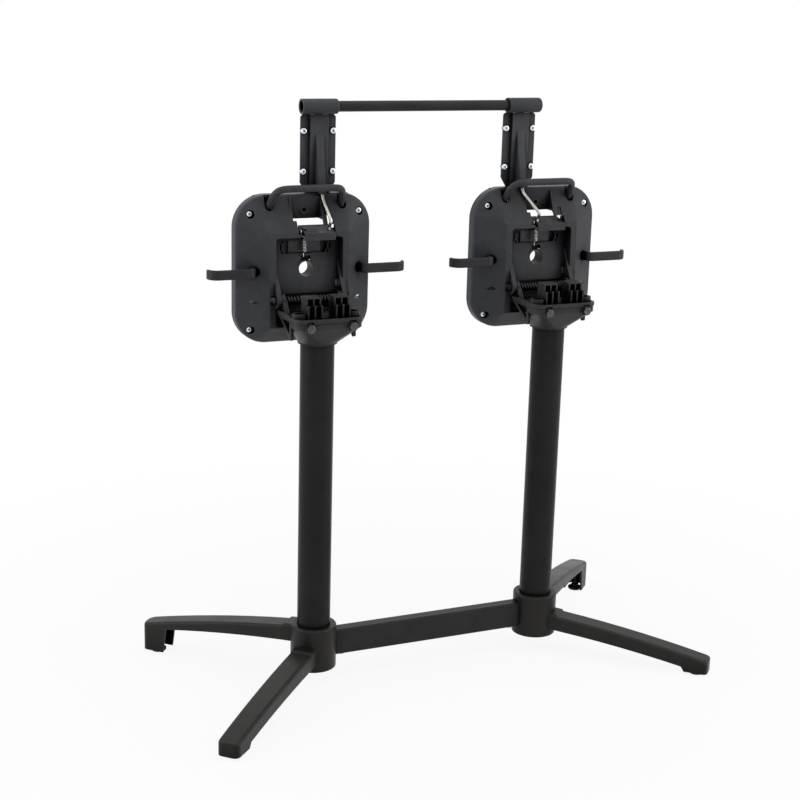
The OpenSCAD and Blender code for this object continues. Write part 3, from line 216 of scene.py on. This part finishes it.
def moulded(name, colour, grain, rough, edge, gloss, edge_highlight=3.6, recess=0.04):
    """Moulded plastic: eroded-tool grain, faint flow marks, painted highlights along the edges and painted
    shade in recesses and at seams.
    """
    material = bpy.data.materials.new(name)
    g = Graph(material)
    wear_and_highlight_patches = g.noise(55, 4, 0.65)
    softened = g.soft_edges(edge * mm)
    tint = g.mottled(g.noise(9, 3, 0.6), colour, 0.80, 1.14)
    tint = g.blend(g.spread(wear_and_highlight_patches, 0.0, 0.4), tint, shade(colour, 1.5))
    # Painted highlight: the colour lightened along rounded edges
    tint = g.blend(g.painted_edge_highlight(softened, wear_and_highlight_patches), tint, shade(colour, edge_highlight))
    # Painted shade in recesses and, tighter, between parts
    tint = g.shaded(g.shaded(tint, RECESS_SHADE_REACH, recess), SEAM_SHADE_REACH, SEAM_SHADE)
    pits = g.bump(g.noise(1 / (grain * mm), 3, 0.7), 0.11 * mm, 0.6, softened)
    normal = g.bump(g.noise(40, 2), 0.25 * mm, 0.25, pits)
    g.finish(tint, g.spread(wear_and_highlight_patches, rough - 0.06, rough + 0.08), normal, Specular_IOR_Level=gloss)
    return material


def coated(name, colour, grain, rough, edge, depth, gloss, edge_highlight=2.6, recess=0.12):
    """Powder coat: fine orange peel over an uneven colour, with painted highlights along the edges and
    painted shade in recesses and at seams.
    """
    material = bpy.data.materials.new(name)
    g = Graph(material)
    patches = g.noise(14, 4, 0.6)
    softened = g.soft_edges(edge * mm)
    tint = g.mottled(patches, colour, 0.84, 1.16)
    # Painted highlight: the colour lightened along rounded edges
    tint = g.blend(g.painted_edge_highlight(softened, g.noise(60, 3, 0.6)), tint, shade(colour, edge_highlight))
    # Painted shade in recesses and, tighter, between parts
    tint = g.shaded(g.shaded(tint, RECESS_SHADE_REACH, recess), SEAM_SHADE_REACH, SEAM_SHADE)
    peel = g.bump(g.noise(1 / (grain * mm), 2, 0.6), depth * mm, 0.55, softened)
    normal = g.bump(g.noise(1 / (grain * 6 * mm), 2), depth * 2 * mm, 0.2, peel)
    g.finish(tint, g.spread(patches, rough - 0.05, rough + 0.07), normal, Specular_IOR_Level=gloss)
    return material


def metal(name, colour, rough, lines_per_metre, depth=0.02, edge=0.25, reach=4, seam=0.12):
    """Bare or plated metal: drawn or tumbled lines, a patchy brightness, and painted shade where parts
    meet.
    """
    material = bpy.data.materials.new(name)
    g = Graph(material)
    lines = g.noise(1, 3, 0.7, lines_per_metre)
    # Painted shade: the tint darkened by ambient occlusion within reach, down to seam
    tint = g.shaded(g.mottled(g.noise(120, 3, 0.6), colour, 0.78, 1.08), reach * mm, seam)
    normal = g.bump(lines, depth * mm, 0.4, g.soft_edges(edge * mm))
    g.finish(tint, g.spread(lines, rough - 0.06, rough + 0.1), normal, Metallic=1.0)
    return material


TUMBLED = (1400, 1400, 1400)

MATERIALS = {
    # Colour, grain in mm, roughness, edge radius in mm, gloss
    "frame_plastic": moulded("moulded_frame", (0.0470, 0.0480, 0.0530), 0.8, 0.38, 1.1, 0.09),
    "head_plastic": moulded("moulded_head", (0.0380, 0.0376, 0.0392), 0.8, 0.38, 1.1, 0.08),
    "arm_plastic": moulded("moulded_arm", (0.0600, 0.0610, 0.0660), 0.8, 0.38, 1.1, 0.09),
    "hook_plastic": moulded("moulded_hook", (0.029, 0.029, 0.032), 0.7, 0.34, 1.1, 0.12),
    "pad_nylon": moulded("moulded_pad", (0.012, 0.012, 0.012), 0.7, 0.5, 0.6, 0.15),
    # Colour, grain in mm, roughness, edge radius in mm, depth of the peel in mm, gloss
    "casting_paint": coated("coated_casting", (0.0240, 0.0226, 0.0212), 0.75, 0.34, 1.8, 0.06, 0.12),
    "tube_paint": coated("coated_tube", (0.0178, 0.0178, 0.0183), 0.5, 0.30, 0.8, 0.04, 0.07),
    # A lightened copy of the tube paint, painted light for the crossbar and release tube
    "lightened_tube_paint": coated("coated_tube_lightened", (0.0300, 0.0296, 0.0305), 0.5, 0.30, 0.8, 0.04, 0.08),
    # Colour, roughness, lines to a metre along each axis
    "zinc": metal("zinc_plate", (0.66, 0.71, 0.78), 0.22, (900, 900, 900)),
    "bare_steel": metal("drawn_steel", (0.60, 0.58, 0.54), 0.28, (2500, 2500, 60)),
    "dull_steel": metal("dull_steel", (0.62, 0.62, 0.60), 0.34, TUMBLED),
    "black_steel": metal("black_steel", (0.080, 0.080, 0.082), 0.34, TUMBLED),
    "blued_steel": metal("blued_steel", (0.035, 0.035, 0.038), 0.36, TUMBLED),
}

# Nodes that look darker or lighter than the rest of their slot. The crossbar and release tube take a
# lightened copy of the tube paint: painted light.
FINISH = {
    "crossbar": "lightened_tube_paint", "release_tube": "lightened_tube_paint",
    "column_head_left": "head_plastic", "column_head_right": "head_plastic",
    "arm_cover_left": "arm_plastic", "arm_cover_right": "arm_plastic",
    "hinge_pin_left": "blued_steel", "hinge_pin_right": "blued_steel",
    "head_bolts": "black_steel",
    "latch_spring_left": "dull_steel", "latch_spring_right": "dull_steel",
}


def finish_of(node):
    return MATERIALS[FINISH.get(node, slot_of[node])]


for name, obj in nodes.items():
    obj.data.materials.clear()
    obj.data.materials.append(finish_of(name))
    for polygon in obj.data.polygons:
        polygon.material_index = 0

# ---------- Mesh helpers ----------

HINGE = Vector(next(j["pos_m"] for j in record["behaviour"]["joints"] if j["name"] == "table_tilt"))
BODY_OF = {node: body for body, held in record["behaviour"]["bodies"].items() for node in held}
SIDES = ("left", "right")
SHARP = math.radians(40)
FACING_BACK = Matrix.Rotation(-math.pi / 2, 4, "X")


def box(node):
    low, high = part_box(node)
    return Vector(low), Vector(high)


def middle_x(node):
    low, high = box(node)
    return (low.x + high.x) / 2


def piece(name, vertices, faces, node):
    """A mesh that stands for a CAD node, with the node's own finish."""
    mesh = bpy.data.meshes.new(name)
    mesh.from_pydata([tuple(v) for v in vertices], [], faces)
    mesh.validate()
    shell = bmesh.new()
    shell.from_mesh(mesh)
    bmesh.ops.recalc_face_normals(shell, faces=shell.faces)
    shell.to_mesh(mesh)
    shell.free()
    mesh.shade_smooth()
    mesh.set_sharp_from_angle(angle=SHARP)
    mesh.materials.append(finish_of(node))
    obj = placed(name, mesh)
    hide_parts(node)
    return obj


class Mesh:
    """Vertices and faces gathered from several forms, each placed as it is added."""

    def __init__(self):
        self.vertices, self.faces = [], []

    def add(self, vertices, faces, place=Matrix()):
        start = len(self.vertices)
        self.vertices += [place @ Vector(v) for v in vertices]
        self.faces += [tuple(start + i for i in face) for face in faces]


def around(count):
    """The cosine and sine of equal steps round a circle."""
    return [(math.cos(math.tau * k / count), math.sin(math.tau * k / count)) for k in range(count)]


def circle(radius, z, count):
    return [(radius * c, radius * s, z) for c, s in around(count)]


def loft(rings, capped=True):
    """Quads between rings of equal length, closed by a cap at either end."""
    n = len(rings[0])
    vertices = [v for ring in rings for v in ring]
    faces = [
        (i * n + k, i * n + (k + 1) % n, (i + 1) * n + (k + 1) % n, (i + 1) * n + k)
        for i in range(len(rings) - 1) for k in range(n)
    ]
    if capped:
        faces.append(tuple(reversed(range(n))))
        faces.append(tuple(range(len(vertices) - n, len(vertices))))
    return vertices, faces


def wire(points, diameter, sides=12):
    """A round wire along a path, its rings carried along without twist."""
    last = len(points) - 1
    along = [(points[min(i + 1, last)] - points[max(i - 1, 0)]).normalized() for i in range(last + 1)]
    aside = Vector((0, 0, 1)) if abs(along[0].z) < 0.9 else Vector((1, 0, 0))
    across = along[0].cross(aside)
    rings = []
    for point, way in zip(points, along):
        across = (across - way * across.dot(way)).normalized()
        upward = way.cross(across)
        rings.append([point + (across * c + upward * s) * diameter / 2 for c, s in around(sides)])
    return loft(rings)


def rounded(points, reach, steps=5, most=0.45):
    """The same path with each corner replaced by a short curve, within most of each side's length."""
    path = [points[0]]
    for before, at, after in zip(points, points[1:], points[2:]):
        start = at + (before - at).normalized() * min(reach, (before - at).length * most)
        end = at + (after - at).normalized() * min(reach, (after - at).length * most)
        for k in range(steps + 1):
            t = k / steps
            path.append(start * (1 - t) ** 2 + at * 2 * t * (1 - t) + end * t ** 2)
    return path + [points[-1]]


THREAD_SIDES = 24
THREAD_FADE = 6  # Half turns over which its end fades out
THREAD_LEAST = 0.55  # Share of its radius that is left at the very end


def thread(low, high, crest, root, pitch):
    """A helical thread along Z from low to high, fading out at its end."""
    half_turns = int((high - low) / pitch) * 2
    vertices, faces = [], []
    for j in range(half_turns + 1):
        fade = (1 - j / half_turns) ** 0.25 if j > half_turns - THREAD_FADE else 1.0
        radius = (crest if j % 2 == 0 else root) * max(fade, THREAD_LEAST)
        for k, (c, s) in enumerate(around(THREAD_SIDES)):
            z = low + j * pitch / 2 + pitch * k / THREAD_SIDES
            vertices.append((radius * c, radius * s, min(z, high)))
    for j in range(half_turns):
        start = j * THREAD_SIDES
        above = start + THREAD_SIDES
        for k in range(THREAD_SIDES - 1):
            faces.append((start + k, start + k + 1, above + k + 1, above + k))
        if j + 3 <= half_turns:
            seam = (above - 1, above + THREAD_SIDES, above + 2 * THREAD_SIDES, above + THREAD_SIDES - 1)
            faces.append(seam)
    faces.append(tuple(range(half_turns * THREAD_SIDES, (half_turns + 1) * THREAD_SIDES)))
    return vertices, faces


# ---------- Torsion springs ----------

COIL_WIRE = 3.6 * mm
COIL_TURNS = 17
COIL_STEPS = 28
COIL_FOOT = 0.4 * COIL_WIRE
KNEE = Vector((0, -5, -9)) * mm
KNEE_RADIUS = 3 * mm


def torsion_spring(side):
    """A close coil round the hinge pin, with a tail at either end on the head's deck."""
    node = f"torsion_spring_{side}"
    low, high = box(node)
    coil_radius = high.z - HINGE.z - COIL_WIRE / 2
    first_x, last_x = low.x + COIL_WIRE / 2, high.x - COIL_WIRE / 2
    count = COIL_TURNS * COIL_STEPS
    coil = []
    for i in range(count + 1):
        a = math.tau * i / COIL_STEPS
        x = first_x + (last_x - first_x) * i / count
        coil.append(Vector((x, HINGE.y - coil_radius * math.cos(a), HINGE.z - coil_radius * math.sin(a))))
    tails = []
    for start in (coil[0], coil[-1]):
        knee = Vector((start.x, HINGE.y - coil_radius, HINGE.z)) + KNEE
        foot = Vector((start.x, low.y + COIL_FOOT, low.z + COIL_WIRE / 2))
        tails.append(rounded([foot, knee, start], KNEE_RADIUS))
    path = tails[0] + coil[1:-1] + tails[1][::-1]
    spring = piece(f"coil_{side}", *wire(path, COIL_WIRE), node)
    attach(spring, BODY_OF[node])


for side in SIDES:
    torsion_spring(side)

# ---------- Latch springs ----------

# In mm from the hinge line at the column's middle: the coil, the bar across the notch that
# its lower hook holds, and the latch's eye that takes its upper one
LATCH_WIRE = 1.6
LATCH_TURNS = 8
LATCH_STEPS = 24
LATCH_RADIUS = 3.6
LATCH_X, LATCH_Y = -4, 21.5
LATCH_LOW, LATCH_TOP = 77, 97
LATCH_LEAD = 0.5
BAR_Z, BAR_FRONT, BAR_BACK, BAR_UNDER = 70.5, 24.75, 29.65, 67.95
HOOK_END, HOOK_TURN = BAR_Z + 1.5, BAR_Z + 3
HOOK_RADIUS = 0.4
EYE_X, EYE_Z, EYE_NEAR, EYE_FAR, EYE_BORE = -13, 113, 19.6, 12.4, 3.2
EYE_LEAD, EYE_END = EYE_Z - 8, EYE_Z - 4.5
EYE_RADIUS = 1


def latch_spring(side):
    """An extension spring that stretches between the bar across the notch and the latch's eye."""
    node = f"latch_spring_{side}"
    count = LATCH_TURNS * LATCH_STEPS
    coil = []
    for i in range(count + 1):
        a = math.tau * i / LATCH_STEPS
        z = LATCH_LOW + (LATCH_TOP - LATCH_LOW) * i / count
        coil.append(Vector((LATCH_X + LATCH_RADIUS * math.cos(a), LATCH_Y + LATCH_RADIUS * math.sin(a), z)))
    lead_x = LATCH_X + LATCH_RADIUS / 2
    hook = [
        Vector((LATCH_X, BAR_BACK, HOOK_END)), Vector((LATCH_X, BAR_BACK, BAR_UNDER)),
        Vector((LATCH_X, BAR_FRONT, BAR_UNDER)), Vector((LATCH_X, BAR_FRONT, HOOK_TURN)),
        Vector((lead_x, LATCH_Y, LATCH_LOW - LATCH_LEAD)),
    ]
    eye = [
        Vector((lead_x, LATCH_Y, LATCH_TOP + LATCH_LEAD)),
        Vector((EYE_X + EYE_BORE, EYE_NEAR, EYE_LEAD)), Vector((EYE_X, EYE_NEAR, EYE_Z)),
        Vector((EYE_X, EYE_FAR, EYE_Z)), Vector((EYE_X, EYE_FAR, EYE_END)),
    ]
    origin = Vector((middle_x(f"column_{side}"), HINGE.y, HINGE.z))
    path = [origin + p * mm for p in rounded(hook, HOOK_RADIUS) + coil + rounded(eye, EYE_RADIUS)]
    spring = piece(f"extension_spring_{side}", *wire(path, LATCH_WIRE * mm), node)
    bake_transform(spring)


for side in SIDES:
    latch_spring(side)

# ---------- Pan-head screws ----------

SCREW_HEADS = {"plate_screws": 11.5 * mm, "arm_screws": 11 * mm}
SCREW_HEAD_HEIGHT = 3.2 * mm
SCREW_HEAD_SIDES = 32
SCREW_SHANK = 4.2 * mm
SCREW_THREAD = 12 * mm
SCREW_CREST = 2.4 * mm
SCREW_ROOT = 1.8 * mm
SCREW_PITCH = 1.6 * mm
TURN_STEP = math.radians(37)

# The head's side, as shares of its radius and of its height below the top
PAN_SIDE = [
    (0.62, 0.0), (0.78, 0.07), (0.90, 0.22), (0.975, 0.45), (1.0, 0.62), (1.0, 0.97), (0.96, 1.0),
]
# The cross recess: its reach and half width as shares of the head's radius, its depth as one of
# the height, where its inner corners lie, and how far its reach and width shrink at the bottom
CROSS_REACH, CROSS_HALF, CROSS_DEPTH = 0.44, 0.115, 0.55
CROSS_INNER = 1.5
CROSS_FOOT_REACH, CROSS_FOOT_WIDTH = 0.45, 0.5


def cross(reach, half, z):
    """The outline of a cross, three points to an arm."""
    points = []
    for turn in range(4):
        c, s = math.cos(turn * math.pi / 2), math.sin(turn * math.pi / 2)
        inner = half * CROSS_INNER
        for x, y in ((reach, -half), (reach, half), (inner, inner)):
            points.append((x * c - y * s, x * s + y * c, z))
    return points


def cross_head(diameter, height, shank):
    """A pan head with its top at Z 0 and its shank along Z, with a tapered cross recess."""
    r = diameter / 2
    count = SCREW_HEAD_SIDES
    rings = [circle(r * across, height * down, count) for across, down in PAN_SIDE]
    head = Mesh()
    head.add(*loft(rings + [circle(shank / 2, height, count)], capped=False))
    rim = head.vertices[:count]

    reach, half = CROSS_REACH * r, CROSS_HALF * r
    top = cross(reach, half, 0)
    foot = cross(reach * CROSS_FOOT_REACH, half * CROSS_FOOT_WIDTH, CROSS_DEPTH * height)
    start, n = len(head.vertices), len(top)
    head.vertices += [Vector(v) for v in top + foot]
    for k in range(n):
        a, b = start + k, start + (k + 1) % n
        head.faces.append((b, a, a + n, b + n))
    head.faces.append(tuple(start + n + k for k in range(n)))

    # The flat top between the rim and the cross, as a fan from each rim point to its nearest corner
    nearest = [min(range(n), key=lambda j: (Vector(top[j]) - at).length) for at in rim]
    for k in range(count):
        after = (k + 1) % count
        here, there = nearest[k], nearest[after]
        head.faces.append((after, k, start + here))
        while here != there:
            onward = (here + 1) % n
            head.faces.append((after, start + here, start + onward))
            here = onward
    return head.vertices, head.faces


def cross_screws(node, diameter):
    """A screw at each corner of the node's box, each turned as the driver left it."""
    low, high = box(node)
    length = high.y - low.y
    centre = (low + high) / 2
    screws = Mesh()
    for index, (x, z) in enumerate((x, z) for x in (low.x, high.x) for z in (low.z, high.z)):
        in_x = math.copysign(diameter / 2, centre.x - x)
        in_z = math.copysign(diameter / 2, centre.z - z)
        at = Vector((x + in_x, low.y, z + in_z))
        place = Matrix.Translation(at) @ FACING_BACK @ Matrix.Rotation(index * TURN_STEP, 4, "Z")
        screws.add(*cross_head(diameter, SCREW_HEAD_HEIGHT, SCREW_SHANK), place)
        screws.add(*loft([
            circle(SCREW_SHANK / 2, SCREW_HEAD_HEIGHT, THREAD_SIDES),
            circle(SCREW_SHANK / 2, length - SCREW_THREAD, THREAD_SIDES),
        ], capped=False), place)
        screws.add(*thread(length - SCREW_THREAD, length, SCREW_CREST, SCREW_ROOT, SCREW_PITCH), place)
    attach(piece(f"cross_{node}", screws.vertices, screws.faces, node), BODY_OF[node])


for side in SIDES:
    for kind, diameter in SCREW_HEADS.items():
        cross_screws(f"{kind}_{side}", diameter)

# ---------- Window lip ----------

# The right plate needs no way for a rod at the window's far edge, so a moulded lip closes it.
# In mm, X and Y from the right column's axis and Z from the hinge. The lip's back starts higher
# than its face, because the latch passes below it.
LIP_X = (33.9, 42.1)
LIP_Z = (121.7, 135.8)
LIP_BACK, LIP_BACK_LOW = 67.8, 125
LIP_WALL = 4.5
LIP_EDGE = 0.6
PROBE = 3  # Out from a corner, to where the plate's own face is met
PROBE_FROM = -200

plate = nodes["tilt_plate_right"]
origin = Vector((middle_x("column_right"), 0, HINGE.z))


def beside(x, z):
    """How far back the plate's face is, just outside the lip's nearest corner."""
    outward = PROBE if x == LIP_X[1] else -PROBE
    start = origin + Vector((x + outward, PROBE_FROM, z + PROBE)) * mm
    _, at, _, _ = plate.ray_cast(start, Vector((0, 1, 0)))
    return at.y / mm


def lip_ring(y, inset, low=LIP_Z[0]):
    """A section of the lip, its corners cut back by inset, with y as a function of the place."""
    (x0, x1), (z0, z1) = LIP_X, (low, LIP_Z[1])
    ring = []
    for x, z in ((x0, z0), (x1, z0), (x1, z1), (x0, z1)):
        towards_x = inset if x == x0 else -inset
        towards_z = inset if z == z0 else -inset
        ring.append(origin + Vector((x + towards_x, y(x, z), z + towards_z)) * mm)
    return ring


lip_vertices, lip_faces = loft([
    lip_ring(beside, LIP_EDGE),
    lip_ring(lambda x, z: beside(x, z) + LIP_EDGE, 0),
    lip_ring(lambda x, z: beside(x, z) + LIP_WALL, 0),
    lip_ring(lambda x, z: LIP_BACK, 0, LIP_BACK_LOW),
])
lip_mesh = bpy.data.meshes.new("window_lip")
lip_mesh.from_pydata([tuple(v) for v in lip_vertices], [], lip_faces)
lip_mesh.materials.append(MATERIALS["frame_plastic"])
window_lip = placed("window_lip", lip_mesh)
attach(window_lip, BODY_OF["tilt_plate_right"])

# ---------- Head bolts ----------

BOLT_ASIDE = 36.5 * mm
BOLT_FLATS = 13 * mm
BOLT_TOP = 0.47 * BOLT_FLATS
BOLT_DISH = 0.25 * mm
BOLT_DISH_INNER, BOLT_DISH_OUTER = 0.55 * BOLT_TOP, 0.8 * BOLT_TOP
BOLT_HEAD = 5.3 * mm
BOLT_FLANGE = 1.2 * mm
BOLT_FLANGE_OUT = 8.45 * mm
BOLT_FLANGE_NECK = 0.97 * BOLT_FLANGE_OUT
BOLT_RADIUS = 4 * mm
BOLT_ROOT = 3.5 * mm
BOLT_PITCH = 1.25 * mm
BOLT_THREAD = 12 * mm
BOLT_SIDES = 72
CORNER_SLOPE = math.tan(math.pi / 6)


def hexagon(across_flats, z, inside=None):
    """A ring round a hexagon. With inside, its corners are turned down by a cone from that radius."""
    ring = []
    for k in range(BOLT_SIDES):
        a = math.tau * k / BOLT_SIDES
        out = across_flats / 2 / math.cos(a % (math.pi / 3) - math.pi / 6)
        down = (out - inside) * CORNER_SLOPE if inside else 0
        ring.append((out * math.cos(a), out * math.sin(a), z + max(down, 0)))
    return ring


def bolt_ring(radius, z):
    return circle(radius, z, BOLT_SIDES)


def head_bolts():
    """Flanged hexagons with turned-down corners, and their threads past the nuts."""
    low, high = box("head_bolts")
    length = high.y - low.y
    seat = BOLT_HEAD + BOLT_FLANGE
    bolts = Mesh()
    for side in SIDES:
        for aside in (-BOLT_ASIDE, BOLT_ASIDE):
            at = Vector((middle_x(f"column_{side}") + aside, low.y, (low.z + high.z) / 2))
            place = Matrix.Translation(at) @ FACING_BACK
            bolts.add(*loft([
                bolt_ring(BOLT_DISH_INNER, BOLT_DISH), bolt_ring(BOLT_DISH_OUTER, 0),
                bolt_ring(BOLT_TOP, 0),
                hexagon(BOLT_FLATS, 0, BOLT_TOP), hexagon(BOLT_FLATS, BOLT_HEAD),
                bolt_ring(BOLT_FLANGE_NECK, BOLT_HEAD),
                bolt_ring(BOLT_FLANGE_OUT, BOLT_HEAD + BOLT_FLANGE / 3), bolt_ring(BOLT_FLANGE_OUT, seat),
                bolt_ring(BOLT_RADIUS, seat), bolt_ring(BOLT_RADIUS, length - BOLT_THREAD),
            ]), place)
            bolts.add(*thread(length - BOLT_THREAD, length, BOLT_RADIUS, BOLT_ROOT, BOLT_PITCH), place)
    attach(piece("flanged_bolts", bolts.vertices, bolts.faces, "head_bolts"), BODY_OF["head_bolts"])


head_bolts()

# ---------- Stage ----------

WHITE = 1.0
AMBIENT_COLOUR, AMBIENT = (0.93, 0.96, 1.0), 0.26
FLOOR_GREY = 0.82
FLOOR_HALF = 14.0
FLOOR_DROP = 0.4 * mm
SHADOW_NEAR, SHADOW_FAR = 0.35, 1.3  # Where the shadow starts to fade, and where it is gone
SHADOW_GLOW = 0.90  # Share of white in the floor near the object, the rest being shadowed matt

world = bpy.data.worlds.new("world")
scene.world = world
g = Graph(world)
ambient = g.add("ShaderNodeBackground", {"Color": AMBIENT_COLOUR, "Strength": AMBIENT})
backdrop = g.add("ShaderNodeBackground", {"Color": (1, 1, 1), "Strength": WHITE})
seen = g.pick(g.looked_at(), ambient.outputs["Background"], backdrop.outputs["Background"])
g.add("ShaderNodeOutputWorld", {"Surface": seen})

pale = bpy.data.materials.new("pale_floor")
g = Graph(pale)
matt = g.add("ShaderNodeBsdfDiffuse", {"Color": (FLOOR_GREY, FLOOR_GREY, FLOOR_GREY)})
glow = g.add("ShaderNodeEmission", {"Strength": WHITE})
away = g.add("ShaderNodeVectorMath", {0: g.position()}, operation="LENGTH").outputs["Value"]
fade = g.graded(away, SHADOW_NEAR, SHADOW_FAR, SHADOW_GLOW, 1.0)
glowing = g.combine("MULTIPLY", g.looked_at(), fade)
surface = g.pick(glowing, matt.outputs["BSDF"], glow.outputs["Emission"])
g.add("ShaderNodeOutputMaterial", {"Surface": surface})

h = FLOOR_HALF
floor_mesh = bpy.data.meshes.new("floor")
floor_mesh.from_pydata([(-h, -h, 0), (h, -h, 0), (h, h, 0), (-h, h, 0)], [], [(0, 1, 2, 3)])
floor_mesh.materials.append(pale)
floor = placed("floor", floor_mesh)
floor.location.z = -FLOOR_DROP


def softbox(name, at, towards, size, power, colour=(1, 1, 1)):
    """A rectangular lamp that the camera doesn't see."""
    data = bpy.data.lights.new(name, "AREA")
    data.shape = "RECTANGLE"
    data.size, data.size_y = size
    data.energy = power
    data.color = colour
    lamp = placed(name, data)
    lamp.visible_camera = False
    lamp.location = at
    lamp.rotation_euler = (Vector(towards) - Vector(at)).to_track_quat("-Z", "Y").to_euler()


MIDDLE = (0, 0, 0.55)
softbox("key_right", (2.3, -1.6, 1.3), MIDDLE, (1.3, 2.4), 40, (1.0, 0.99, 0.97))
softbox("key_left", (-2.75, 0.35, 1.3), MIDDLE, (1.4, 2.4), 40, (0.96, 0.98, 1.0))
softbox("top", (0, -0.5, 2.9), MIDDLE, (2.2, 1.8), 26)
softbox("back", (0.9, 2.7, 2.3), MIDDLE, (1.8, 1.4), 5)
softbox("low_front", (-0.4, -2.9, 0.5), MIDDLE, (1.8, 0.8), 4, (1.0, 0.98, 0.96))
